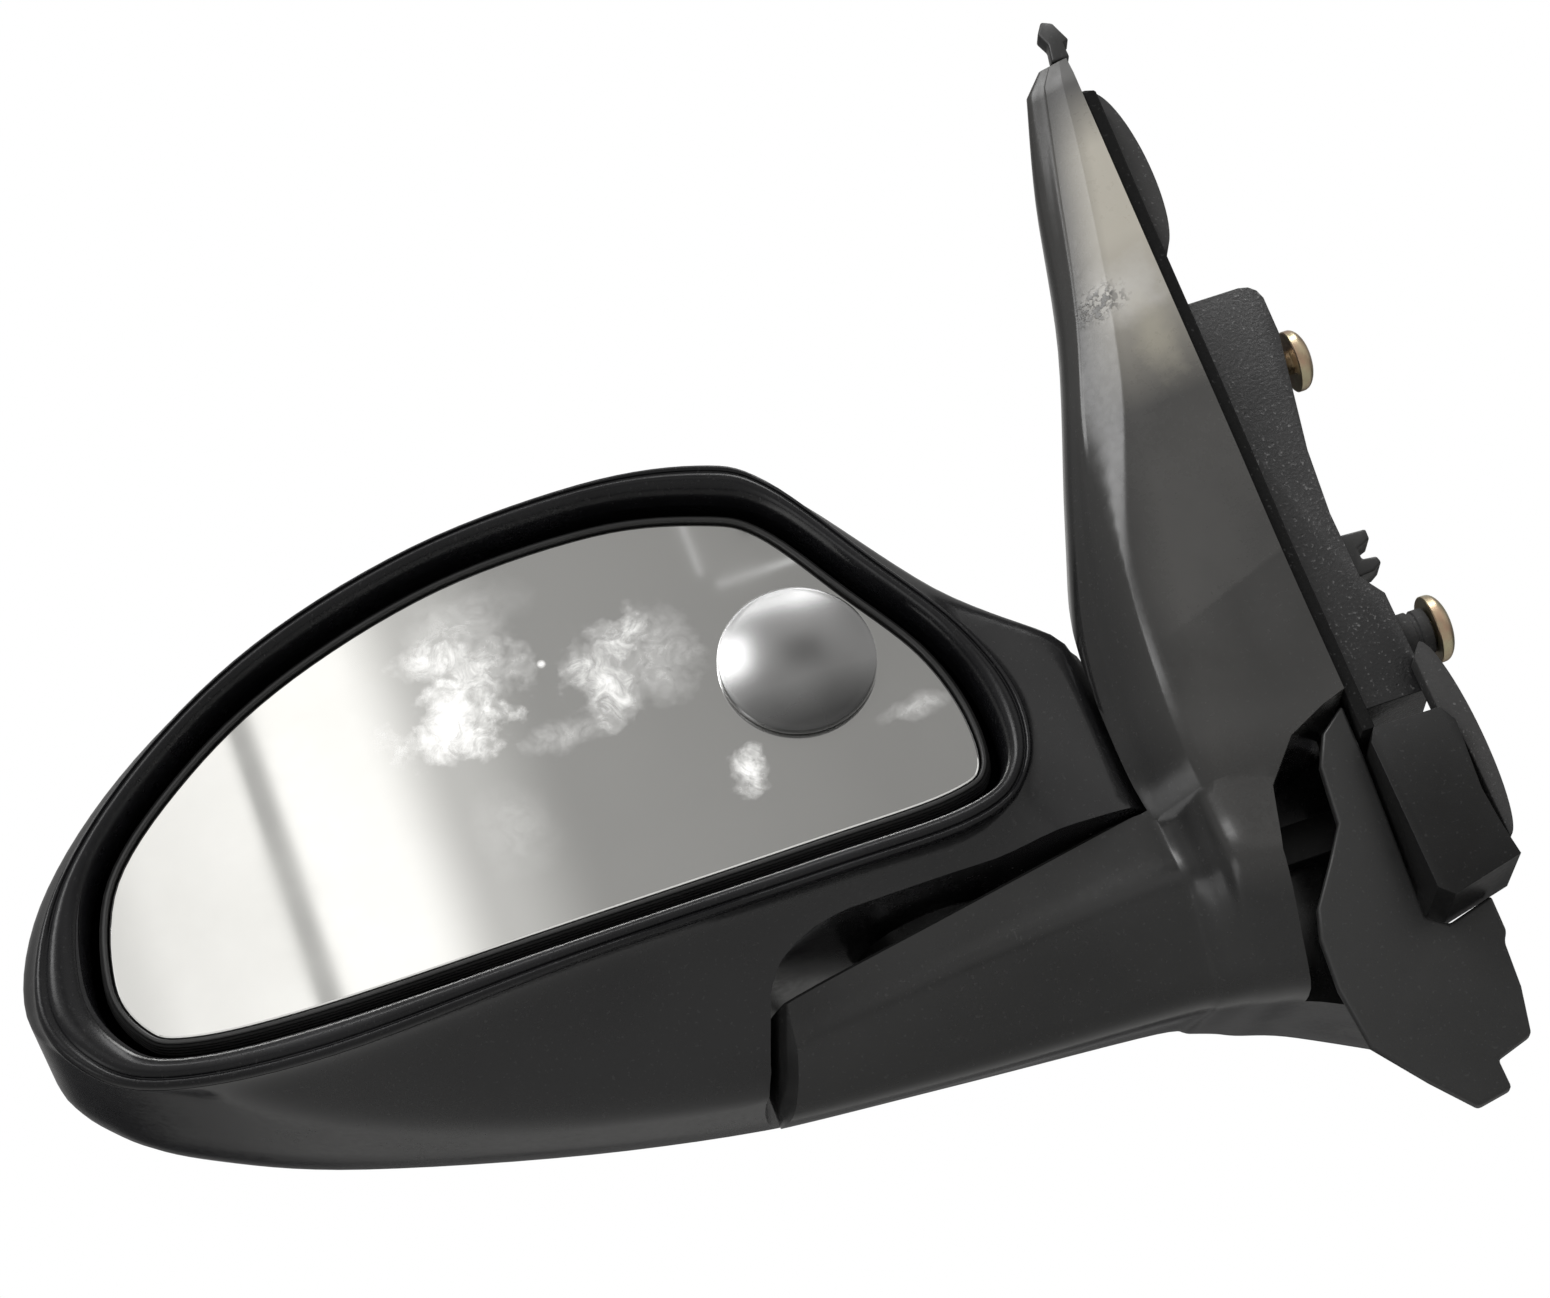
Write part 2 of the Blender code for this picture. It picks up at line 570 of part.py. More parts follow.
def sail_section(level, inset):
    """Horizontal outline (X, Y) of the sail at height Z, anticlockwise from the rear edge."""
    rows = SAIL
    index = max(i for i in range(len(rows) - 1) if rows[i][0] <= level)
    low, high = rows[index], rows[index + 1]
    share = (level - low[0]) / (high[0] - low[0])
    _, rear, crease_x, crease_y, corner_x, corner_y, front = lerp(low, high, min(share, 1.0))
    edge = SAIL_EDGE_X
    wide, long = corner_x - edge, front - corner_y
    turn = lerp((corner_x, corner_y), (crease_x, crease_y), 0.5)
    outline = [(edge, rear), (edge, front), (edge + wide * 0.35, corner_y + long * 0.86),
               (edge + wide * 0.72, corner_y + long * 0.62),
               (edge + wide * 0.93, corner_y + long * 0.32), (corner_x, corner_y),
               (turn[0] + wide * 0.03, turn[1]), (crease_x, crease_y),
               lerp((crease_x, crease_y), (edge, rear), 0.5)]
    if not inset:
        return outline
    inner = offset_loop(outline, inset)
    inner[0] = (5.0, rear + inset)
    inner[1] = (5.0, front - inset * 1.6)
    return inner


def sail_solid(name, inset):
    """Sail as a solid; the inset one is open towards the door."""
    levels = [row[0] for row in SAIL]
    if inset:
        levels = [-20.0] + levels[1:-2] + [levels[-2] - 6.0]
    rings = [[(x, y, level) for x, y in sail_section(max(level, SAIL[0][0]), inset)]
             for level in levels]
    return loft(name, rings, "gloss_black")


def arm_section(row, inset):
    """Upright outline (Y, Z) across the arm, rounded through its five points."""
    rear_top, rear, bottom, front, front_top = row[1:]
    keel = lerp(bottom, front, 0.5)
    outline = [front_top, rear_top, lerp(rear_top, rear, 0.5), rear,
               (lerp(rear, bottom, 0.55)[0] - 1.5, lerp(rear, bottom, 0.55)[1] - 1.0), bottom,
               (keel[0], keel[1] - 1.0), front, (lerp(front, front_top, 0.5)[0] + 2.0,
                                                 lerp(front, front_top, 0.5)[1])]
    return offset_loop(outline, inset) if inset else outline


def arm_solid(name, inset):
    """Arm as a solid that runs from its tip to the door."""
    rings = [[(row[0], y, z) for y, z in arm_section(row, inset)] for row in ARM]
    if inset:
        rings.append([(6.0, y, z) for _, y, z in rings[-1]])
    return loft(name, rings, "gloss_black")


def base_solid(name, inset):
    """Sail and arm joined, cut to the pivot's cylinders; inset gives the hollow inside."""
    solid = combine(sail_solid(name, inset), arm_solid("arm", inset), "UNION")
    recess = cylinder("recess", (*PIVOT, 0), (0, 0, 1), RECESS_R + inset, RECESS_FLOOR - inset,
                      RECESS_TOP + inset, segments=64)
    combine(solid, recess, "DIFFERENCE")
    tip = ring("tip", (*PIVOT, 0), (0, 0, 1), ARM_TIP_R - inset, 90, -60, 20, "steel", 64)
    keep = box("keep", (PIVOT[0] - 14, -60, -61), (60, 140, 21), "steel")
    combine(tip, keep, "DIFFERENCE")
    combine(solid, tip, "DIFFERENCE")
    return solid


def make_base_cover():
    """Moulded cover of the base: sail, recess for the head, and arm."""
    cover = base_solid("base_cover", 0)
    turret = cylinder("turret", (*PIVOT, 0), (0, 0, 1), 18.0, -14.0, -5.2, segments=32)
    combine(cover, turret, "UNION")
    combine(cover, base_solid("hollow", WALL), "DIFFERENCE")
    hole = cylinder("hole", (*PIVOT, 0), (0, 0, 1), 12.6, -24, 4)
    combine(cover, hole, "DIFFERENCE")
    notch = [(-1, 1), (-16, -4.5), (-22.7, -12), (-26, -25), (-27, -45), (-26, -60), (-20, -100),
             (20, -100), (20, 1)]
    cut = prism("notch", notch, "Y", -40, NOTCH_DEPTH, "steel")
    return combine(cover, cut, "DIFFERENCE")


def make_door_bracket():
    """Casting that bolts to the door and reaches out through the arm to the pivot."""
    profile = [(-1, 94.5), (16, 94.5), (18.6, 91), (18.5, 82), (13.4, 55), (12, 40), (12, 25),
               (15.3, 20), (15.3, 5), (17.9, 0.5), (15, -2.2), (-1, -2.2)]
    block = prism("door_bracket", profile, "Y", 4, 60, "cast_black")
    side = [(4, -3), (60, -3), (60, 40), (27, 96), (4, 96)]
    combine(block, prism("side", side, "X", -10, 30, "steel"), "INTERSECT")
    web = [(6, -1), (-4, -2), (-26, -26), (-88, -26), (-88, -16.5), (-36, -13.5), (-26, -5),
           (-12, 14), (6, 40)]
    combine(block, prism("web", web, "Y", 36, 52, "cast_black"), "UNION")
    leg = [(3, -3.9), (3, 2), (-6.5, 2), (-7.5, -14), (-17, -30), (-18, -43), (-3, -38), (-3, -3.9)]
    combine(block, prism("leg", leg, "Y", 12.5, 17, "cast_black"), "UNION")
    boss = cylinder("boss", (*PIVOT, 0), (0, 0, 1), 12.0, -26.0, -0.8)
    combine(block, boss, "UNION")
    bore = cylinder("bore", (*PIVOT, 0), (0, 0, 1), BORE_R, -40, 5)
    combine(block, bore, "DIFFERENCE")
    for z in SCREW_Z:
        hole = cylinder("hole", (0, SCREW_Y, z), (1, 0, 0), SCREW_BORE_R, -5, 30, segments=16)
        combine(block, hole, "DIFFERENCE")
    wires = cylinder("wires", CABLE_AT, (1, 0, 0), CABLE_BORE_R, -5, 30, segments=16)
    return combine(block, wires, "DIFFERENCE")


def make_door_gasket():
    """Flat foam gasket between the cover and the door's sheet metal."""
    inner = offset_loop(GASKET, GASKET_WIDE)
    sections = [(GASKET, -GASKET_THICK), (GASKET, 0.0), (inner, 0.0), (inner, -GASKET_THICK)]
    rings = [[(x, y, z) for y, z in outline] for outline, x in sections]
    return loft("door_gasket", rings, "rubber", ends="join")


def half_moon(flat_x, reach, low, high, points=9):
    """Half-moon outline (X, Z) that bulges inboard from a flat side."""
    middle, half = (low + high) / 2, (high - low) / 2
    return [(flat_x + reach * math.sin(math.pi * i / (points - 1)),
             middle - half * math.cos(math.pi * i / (points - 1))) for i in range(points)]


def make_small_base_parts():
    """Pads, lower block, tail flap, clips, screws, collar and grommet."""
    prism("upper_pad", half_moon(0.5, 5.4, 103, 144), "Y", -5, 0.4, "rubber")
    prism("lower_pad", half_moon(15.6, 3.9, -38, 2), "Y", -1, 3.7, "rubber")
    block = [(-1, -9.2), (13, -9.5), (14.8, -13), (13.6, -28), (14.2, -36), (15.2, -43),
             (0, -46.5), (-2.6, -44), (-2.6, -27), (-2.6, -12)]
    lower = prism("lower_block", block, "Y", -4, 13, "satin_black")
    root = box("root", (-2.4, 12, -32), (8, 35.7, -12), "satin_black")
    combine(lower, root, "UNION")
    tongue = box("tongue", (-24, 26, -20), (1, 35.7, -12), "satin_black")
    combine(lower, tongue, "UNION")
    flap = [(-4, -1.5), (-9.8, -5.7), (-12.5, -11.3), (-13.2, -22.7), (-17.5, -29),
            (-23, -36.5), (-24.5, -42), (-24.6, -52), (-22.5, -64), (-14.1, -73.5), (-6.7, -81),
            (0.7, -79.8), (0.2, -73.9), (8.1, -71.6), (9.6, -62.6), (9.7, -53.6), (10.8, -52),
            (10.4, -44.7), (2.3, -47.5), (-3.2, -48.3), (-15.1, -44.6), (-14.8, -37.5),
            (-5.2, -25), (-4.4, -12)]
    tail = prism("tail_flap", flap, "Y", -2, 1, "satin_black")
    for vertex in tail.data.vertices:
        vertex.co.y -= vertex.co.z * FLAP_RAKE
    clip = [(12.4, 27), (17, 27.4), (19, 28.6), (18.6, 30.2), (15.6, 30.6), (15.6, 33),
            (18.8, 34.2), (18.9, 36.6), (12.4, 37)]
    prism("retaining_clip", clip, "Y", 9, 15, "satin_black")
    barb = [(-6, 149.4), (-2, 149.4), (-2, 153), (-0.6, 153.4), (-2.4, 158.4), (-4.6, 159.4),
            (-6.4, 156.6), (-5.2, 153.6)]
    prism("top_clip", barb, "Y", -12, -8, "satin_black")
    upper_z, lower_z = SCREW_Z
    screw("screw_upper", (20.2, SCREW_Y, upper_z), (1, 0, 0), SCREW_R, 15, 6.5, 4.2, "zinc_yellow")
    screw("screw_lower", (22.6, SCREW_Y, lower_z), (1, 0, 0), SCREW_R, 17, 7.0, 4.2, "zinc_yellow")
    ring("screw_collar", (0, SCREW_Y, lower_z), (1, 0, 0), SCREW_BORE_R, 5.0, 15.6, 22.3, "rubber", 20)
    collar = CABLE_BORE_R - GAP
    grommet = [(4.0, -1.5), (collar, -1.5), (collar, 12.8), (8.0, 12.8), (8.0, 14.6), (4.0, 14.6)]
    turned("cable_grommet", grommet, CABLE_AT, (1, 0, 0), "rubber", 20)


def make_fold_spring():
    """Coil spring round the stem that holds the head down on its washer."""
    wire, mean, turns, sides, steps = 0.95, 9.7, 2.6, 6, 14
    start, pitch = 12.4, 2.75
    rings = []
    for step in range(int(turns * steps) + 1):
        angle = math.tau * step / steps
        out = Vector((math.cos(angle), math.sin(angle), 0))
        centre = Vector((*PIVOT, start + pitch * step / steps)) + out * mean
        rings.append([tuple(centre + out * wire * math.cos(math.tau * s / sides)
                            + Vector((0, 0, wire * math.sin(math.tau * s / sides))))
                      for s in range(sides)])
    return loft("fold_spring", rings, "steel")


def make_pivot_parts():
    """Stem, thrust washer, spring and its retainer, all on the fold axis."""
    stem = [(4.5, -25.0), (7.0, -25.0), (7.0, -0.5), (11.5, -0.5), (11.5, 1.5), (7.0, 1.5),
            (7.0, 25.0), (4.5, 25.0)]
    turned("pivot_stem", stem, (*PIVOT, 0), (0, 0, 1), "steel")
    ring("thrust_washer", (*PIVOT, 0), (0, 0, 1), 7.4, 11.8, 1.8, 3.3, "brass")
    ring("spring_retainer", (*PIVOT, 0), (0, 0, 1), 7.3, 11.5, 21.0, 23.0, "steel")
    make_fold_spring()


def build():
    """Make every piece and hang the moving ones on empties at their joints."""
    clear_scene()
    make_base_cover()
    make_door_bracket()
    make_door_gasket()
    make_small_base_parts()
    make_pivot_parts()

    head = [make_housing_shell(), make_rim_bezel(), make_head_frame(), make_actuator_base(),
            make_actuator_cover()]
    for number, (x, z) in enumerate(FRAME_SCREWS, 1):
        head.append(screw(f"frame_screw_{number}", (x, FRAME_Y - GAP, z), (0, -1, 0), 2.0, 11, 4.2,
                          2.4, "steel"))
    for number, (x, z) in enumerate(actuator_screw_places(), 1):
        head.append(screw(f"actuator_screw_{number}", (x, FRAME_Y + FRAME_THICK + GAP, z),
                          (0, 1, 0), 1.6, 8, 3.4, 2.0, "steel"))
    spindle_pan, gear_pan, worm_pan, motor_pan = make_drive("pan", (CX + LEVER, CZ), "Z")
    spindle_tilt, gear_tilt, worm_tilt, motor_tilt = make_drive("tilt", (CX, CZ - LEVER), "X")
    head += [motor_pan, motor_tilt]

    fold = joint_empty("fold_axis", (*PIVOT, 0))
    attach(head, fold)
    pan = joint_empty("pan_axis", GLASS_PIVOT, fold)
    attach([make_gimbal_cross()], pan)
    tilt = joint_empty("tilt_axis", GLASS_PIVOT, pan)
    attach([make_glass_holder(), *make_glass_parts()], tilt)
    pan_drive = joint_empty("pan_spindle_axis", (CX + LEVER, GEAR_Y, CZ), fold)
    attach([spindle_pan, gear_pan], pan_drive)
    tilt_drive = joint_empty("tilt_spindle_axis", (CX, GEAR_Y, CZ - LEVER), fold)
    attach([spindle_tilt, gear_tilt], tilt_drive)
    pan_worm = joint_empty("pan_worm_axis", (CX + LEVER - WORM_OFFSET, GEAR_Y, CZ), fold)
    attach([worm_pan], pan_worm)
    tilt_worm = joint_empty("tilt_worm_axis", (CX, GEAR_Y, CZ - LEVER + WORM_OFFSET), fold)
    attach([worm_tilt], tilt_worm)


build()
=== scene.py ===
import math

import bmesh
import bpy
from mathutils import Matrix, Vector


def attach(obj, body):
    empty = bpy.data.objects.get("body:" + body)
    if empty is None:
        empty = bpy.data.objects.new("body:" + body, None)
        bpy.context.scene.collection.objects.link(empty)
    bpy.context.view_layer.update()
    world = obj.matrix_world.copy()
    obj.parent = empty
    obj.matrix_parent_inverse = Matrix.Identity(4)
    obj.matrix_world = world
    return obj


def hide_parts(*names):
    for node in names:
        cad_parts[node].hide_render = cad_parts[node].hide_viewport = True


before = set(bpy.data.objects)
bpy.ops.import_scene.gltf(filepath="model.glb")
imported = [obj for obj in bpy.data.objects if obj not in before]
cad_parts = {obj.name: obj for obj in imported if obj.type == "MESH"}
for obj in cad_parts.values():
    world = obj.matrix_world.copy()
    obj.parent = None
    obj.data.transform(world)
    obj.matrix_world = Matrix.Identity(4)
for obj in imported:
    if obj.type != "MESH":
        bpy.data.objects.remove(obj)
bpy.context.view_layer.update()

# Looks for the left-hand car door mirror.  Frame: X towards the car, Y forwards, Z up.
# Lengths are in millimetres and are turned into metres when a mesh is made.

MM = 0.001
GAP = 0.3  # clearance kept between touching pieces
WALL = 2.4  # moulded wall thickness
WELD = 2e-6  # metres; vertices nearer than this are one

# Fold pivot: a vertical axis in the arm.
PIVOT = (-88.0, 44.0)
HEAD_END_R = 52.0  # inboard end of the head, a cylinder about the pivot
RECESS_R = 54.0  # wall of the base that faces it
RECESS_TOP = 80.0
RECESS_FLOOR = -5.0
STEP_R = 45.0  # step in the head's underside, a cylinder about the pivot
STEP_END_X = -112.0
HEAD_FLOOR = -3.5  # underside of the head above the arm
# Rounding of the step into that underside: (drop below it, how much narrower the step is there).
STEP_ROUNDING = ((90.0, 0.0), (8.0, 0.0), (4.6, 1.0), (2.4, 3.0), (1.0, 5.2), (0.25, 7.6),
                 (0.0, 9.0))
ARM_TIP_R = 43.0
TURRET_R = 18.0  # boss of the cover round the pivot
STEM_HOLE_R = 14.0
COVER_HOLE_R = 12.6

# Glass pivot: the centre of the gimbal.
CX, CY, CZ = -158.0, 22.0, 50.0
LEVER = 25.0  # distance from the gimbal to each jack spindle
LUG_NEAR = 5.2  # gimbal lugs, measured from the glass pivot along the pin
LUG_FAR = 8.2
PIN_BORE_R = 2.3

# Head outline (X, Z), anticlockwise seen along +Y from the bottom outboard corner.
RIM = [(-242, 3), (-211, -1), (-160, 1), (-110, 1), (-78, 1.5), (-65, 9), (-61, 24), (-66, 42),
       (-78, 63), (-92, 86), (-104, 94), (-128, 98), (-164, 96), (-200, 86), (-230, 69),
       (-252, 48), (-261, 27), (-256, 12)]
BODY = [(-240, 4.5), (-212, -7.5), (-160, -22), (-112, -30), (-66, -30), (-40, -16), (-38, 20),
        (-46, 35), (-66, 54), (-88, 85), (-103, 95), (-128, 100), (-165, 98), (-202, 88),
        (-233, 71), (-255, 50), (-263.5, 29), (-255.5, 15)]
OPENING = [(-236, 9), (-210, 6.5), (-160, 6.5), (-110, 6.5), (-80, 7), (-69.5, 12), (-67.5, 26),
           (-71.5, 43), (-81.7, 61), (-93.5, 80), (-105, 87.5), (-128, 93), (-162, 92),
           (-196, 83), (-222, 69.5), (-243, 51), (-250, 29), (-246, 15)]
FINE = 7  # curve points for each outline point
MOUTH_Y = 6.3
FULL_Y = 13.0  # where the housing reaches its full width
BELLY_FULL_Y = 36.0  # where its underside, which slopes more, does
BELLY_TOP = 6.0  # the underside's slope fades out above this height
BELLY_FADE = 24.0
CORNER_X = -45.0  # and towards the inboard corner
CORNER_FADE = 25.0
WAIST_Y = 45.0  # from here the housing closes towards the front
NOSE_Y = 88.0
NOSE_POWER = 2.6
NOSE_CENTRE = (-150.0, 38.0)
END_SOFTNESS = 0.9  # rounding where the sides meet the inboard end
HEAD_LEVELS = (6.3, 6.8, 7.6, 8.6, 9.6, 10.6, 11.6, 12.4, 13.2, 16, 20, 25, 30, 35, 40, 45, 50, 55,
               60, 64, 68, 71.5, 74.5, 77, 79.2, 81.2, 83, 84.4, 85.6, 86.6, 87.2, 87.6)
RIM_WALL = 1.1  # wall of the rim that runs in beside the glass
RIM_DEPTH = 15.0  # Y of that wall's inner end
# Across the rim: (share of the way from RIM to OPENING, Y).
RIM_PROFILE = ((0.005, 5.2), (0.03, 4.55), (0.08, 4.2), (0.14, 4.15), (0.19, 4.35), (0.225, 4.7),
               (0.25, 4.72), (0.28, 4.4), (0.33, 4.05), (0.42, 3.85), (0.52, 3.9), (0.62, 4.15),
               (0.72, 4.7), (0.81, 5.6), (0.89, 7.2), (0.945, 9.4), (0.98, 12.0),
               (1.0, RIM_DEPTH))

# Screws, at (X, Z), that hold the frame to the housing's posts.
FRAME_SCREWS = [(-222, 52), (-150, -6), (-106, 62)]
POST_FRONTS = (78.0, 84.0, 84.0)  # Y of each post's front end
POST_R = 4.5
POST_Y = 61.3  # rear end of the posts
PILOT_R = 2.3

# Glass and its holder, measured inwards from OPENING.
HOLDER_INSET = 2.2
LIP_INSET = 4.0
GLASS_INSET = 4.3
GLASS_Y = 10.0
GLASS_THICK = 2.0
HOLDER_FLOOR = 13.2
HOLDER_BACK = 15.2
HOLDER_RIBS = 4
SPOT_AT = (-99.0, 48.0)  # centre of the blind-spot mirror, X and Z
SPOT_SPHERE = 48.0
SPOT_REACH = 15.1
SPOT_CROWN = 4.6
SPOT_STEPS = 18

# Sail of the base: Z, rear edge Y, crease X and Y, outer corner X and Y, front edge Y.
SAIL = [(-16, -3, -33, 6.5, -47, 24, 122), (0, -4, -36, 0, -49, 16, 118),
        (30, -5, -34, -1, -46, 13, 96), (60, -7.5, -29, -3.5, -37, 8, 72),
        (95, -9.5, -18, -6, -25, 3, 44), (125, -11.5, -10.5, -9.5, -18.5, -3, 20),
        (145, -13, -6.5, -12, -13, -8.5, 3), (149, -12.5, -5, -12, -9, -10, -2)]
SAIL_EDGE_X = -3.0
CREASE_SHARP_Z = 35.0  # the crease is sharp below this height
CREASE_FADE = 45.0  # and softens over this much above it

# Arm of the base: X, then (Y, Z) of rear top edge, rear bulge, bottom, front bulge, front top edge.
ARM = [(-138, (26, -17), (28, -26), (36, -32), (54, -27), (62, -16)),
       (-122, (20, -14.5), (22, -25), (32, -35), (56, -28), (66, -13)),
       (-89, (16, -10), (17, -23), (30, -38), (62, -29), (73, -10)),
       (-50, (12, -4.5), (12, -22), (28, -40.5), (68, -30.5), (82, -6)),
       (-43, (10.5, -4), (11, -23), (26.5, -42), (69, -32.5), (87, -5.5)),
       (-38, (5, -3.5), (6.5, -24), (24, -43.5), (70, -34), (90, -5.2)),
       (-34, (1.6, -3), (2.6, -25), (22.5, -45), (71, -35.5), (92, -5)),
       (-24, (0.6, -3), (1.4, -27), (21.5, -48), (72, -39), (98, -5)),
       (-6, (0, -3), (0, -30), (18, -58), (72, -49), (110, -4))]
NOTCH_DEPTH = 30.0  # how far forward the cut for the lower block reaches

# Fixing to the door.
SCREW_Y = 12.0
SCREW_Z = (78.5, 12.5)
SCREW_R = 3.0
SCREW_HEAD_HIGH = 4.2
SCREW_BORE_R = 3.3
BRACKET_BORE_R = 7.3
CABLE_AT = (0.0, 42.0, 32.0)
CABLE_BORE_R = 6.0
GASKET = [(112, -8.5), (110, -2), (-6, 144), (-12, 140), (-9.5, 113), (-6.5, 67), (-3.5, 33),
          (-2.5, 0), (-2.2, -8.5)]
GASKET_WIDE = 4.0
GASKET_THICK = 2.7
GASKET_ROUND = 0.4
FLAP_RAKE = 0.25  # the tail flap leans forwards by this much for each unit of height

# Smudges on the glass: centre, size, share and raggedness.
SMUDGES = (((-167, 10, 73), (12, 9, 5), 0.62, 1.3), ((-161, 10, 78), (12, 9, 11), 0.22, 0.9),
           ((-167, 10, 60), (13, 9, 10), 1.00, 1.5), ((-160, 10, 67), (10, 9, 10), 0.45, 1.3),
           ((-131, 10, 65), (7, 9, 7), 0.60, 1.4), ((-137, 10, 57), (8, 9, 11), 0.55, 1.5),
           ((-126, 10, 59), (12, 9, 11), 0.25, 1.0), ((-146, 10, 49), (10, 9, 4), 0.20, 1.4),
           ((-116, 10, 29), (4.5, 9, 6), 0.75, 1.5), ((-80, 10, 31), (8, 9, 3), 0.25, 1.5),
           ((-147, 10, 65), (1.0, 9, 1.0), 0.80, 0.2), ((-163, 10, 33), (9, 9, 12), 0.10, 0.5),
           ((-157, 10, 82), (14, 9, 8), 0.10, 0.8))

# Studio, in metres.
CAMERA_AT = (-0.22377, -0.74936, -0.28371)
CAMERA_RIGHT = (0.94029, 0.0, -0.34038)
CAMERA_UP = (0.30798, -0.42578, 0.85080)
CAMERA_VIEW = (0.14493, 0.90483, 0.40036)
CAMERA_LENS = 97.8  # focal length and sensor width in millimetres
CAMERA_SENSOR = 36.0
FLOOR_REACH = 3.0
FLOOR_Z = -0.62
CARD_Y = -2.0  # cards behind the camera that the glass reflects
# Brightness of the large card: (share of its width, grey).
GLASS_STOPS = ((0.0, 0.70), (0.15, 0.80), (0.19, 1.02), (0.252, 1.10), (0.258, 0.46),
               (0.266, 0.50), (0.275, 1.25), (0.325, 1.20), (0.375, 0.60), (0.44, 0.33),
               (0.66, 0.265), (1.0, 0.22))


# -------- materials

class Tree:
    """Adds and joins the nodes of one tree."""

    def __init__(self, tree):
        self.tree = tree

    def add(self, kind, **inputs):
        """Add a node and set its inputs by name."""
        node = self.tree.nodes.new(kind)
        for key, value in inputs.items():
            self.put(node, key.replace("_", " "), value)
        return node

    def put(self, node, socket, value):
        """Set an input to a number or a colour, or link a socket to it."""
        target = node.inputs[socket]
        if isinstance(value, bpy.types.NodeSocket):
            self.tree.links.new(value, target)
        else:
            target.default_value = value

    def fill(self, node, *values):
        """Set a node's inputs in order."""
        for index, value in enumerate(values):
            self.put(node, index, value)
        return node

    def sum(self, kind, operation, *values):
        """Add a math or vector math node and return it."""
        node = self.tree.nodes.new(kind)
        node.operation = operation
        return self.fill(node, *values)

    def math(self, operation, *values):
        """Result of an operation on numbers or sockets."""
        return self.sum("ShaderNodeMath", operation, *values).outputs[0]


class Nodes(Tree):
    """The tree of one new material, with the patterns that the looks are made of."""

    def __init__(self, name):
        self.made = bpy.data.materials.new(name)
        self.made.use_nodes = True
        super().__init__(self.made.node_tree)
        self.shader = self.tree.nodes["Principled BSDF"]
        self.output = self.tree.nodes["Material Output"]
        self.where = self.add("ShaderNodeTexCoord").outputs["Object"]

    def noise(self, scale, detail=3.0, rough=0.55, distortion=0.0):
        """Cloudy pattern in the object's own coordinates, in waves per metre."""
        node = self.add("ShaderNodeTexNoise", Vector=self.where, Scale=scale, Detail=detail,
                        Roughness=rough, Distortion=distortion)
        return node.outputs["Fac"]

    def spread(self, value, low, high, to_low=0.0, to_high=1.0):
        """Map the range from low to high onto another, with clamping."""
        node = self.add("ShaderNodeMapRange")
        return self.fill(node, value, low, high, to_low, to_high).outputs[0]

    def mix(self, share, first, second):
        node = self.tree.nodes.new("ShaderNodeMix")
        node.data_type = "RGBA"
        self.put(node, 0, share)
        for index, value in ((6, first), (7, second)):
            if isinstance(value, tuple):
                value = (*value, 1.0)
            self.put(node, index, value)
        return node.outputs[2]

    def blob(self, centre, size, soft=0.35, noise_size=0.0, noise_scale=120.0):
        """Soft ellipse round a point of the object, in millimetres, with a ragged edge."""
        kind = "ShaderNodeVectorMath"
        offset = self.sum(kind, "SUBTRACT", self.where, [value * MM for value in centre])
        scaled = self.sum(kind, "DIVIDE", offset.outputs[0], [value * MM for value in size])
        reach = self.sum(kind, "LENGTH", scaled.outputs[0]).outputs["Value"]
        if noise_size:
            ragged = self.spread(self.noise(noise_scale, 4.0, 0.6), 0, 1, -noise_size, noise_size)
            reach = self.math("ADD", reach, ragged)
        return self.spread(reach, 1.0, 1.0 - soft)

    def bump(self, height, distance, strength=1.0):
        node = self.add("ShaderNodeBump", Height=height, Distance=distance, Strength=strength)
        self.put(self.shader, "Normal", node.outputs[0])

    def axis(self, name):
        split = self.add("ShaderNodeSeparateXYZ", Vector=self.where)
        return split.outputs[name]


def plastic(name, dark, light, rough, grain=0.0, grain_scale=2500.0, dust=0.10, specular=0.36):
    """Moulded plastic or rubber: mottled colour, uneven roughness, fine grain and dust."""
    n = Nodes(name)
    clouds = n.noise(22.0, 4.0)
    fine = n.noise(700.0, 2.0)
    mixed = n.mix(n.spread(clouds, 0.35, 0.7), dark, light)
    specks = n.math("MULTIPLY", n.spread(n.noise(1300.0, 1.0), 0.66, 0.74), dust)
    dusty = tuple(0.10 + value for value in light)
    n.put(n.shader, "Base Color", n.mix(specks, mixed, dusty))
    wear = n.math("ADD", n.spread(clouds, 0.3, 0.7, rough[0], rough[1]),
                  n.spread(fine, 0.3, 0.7, -0.03, 0.03))
    n.put(n.shader, "Roughness", wear)
    n.put(n.shader, "Specular IOR Level", specular)
    if grain:
        n.bump(n.noise(grain_scale, 3.0), grain * MM)
    return n


def metal(name, colour, stain, rough, scale=300.0):
    """Plated or bare metal: stained colour, uneven roughness and fine marks."""
    n = Nodes(name)
    marks = n.noise(scale, 5.0, 0.6)
    tint = n.noise(180.0, 3.0)
    n.put(n.shader, "Base Color", n.mix(n.spread(tint, 0.38, 0.66), colour, stain))
    n.put(n.shader, "Metallic", 1.0)
    n.put(n.shader, "Roughness", n.spread(marks, 0.3, 0.7, rough[0], rough[1]))
    n.bump(marks, 0.04 * MM)
    return n


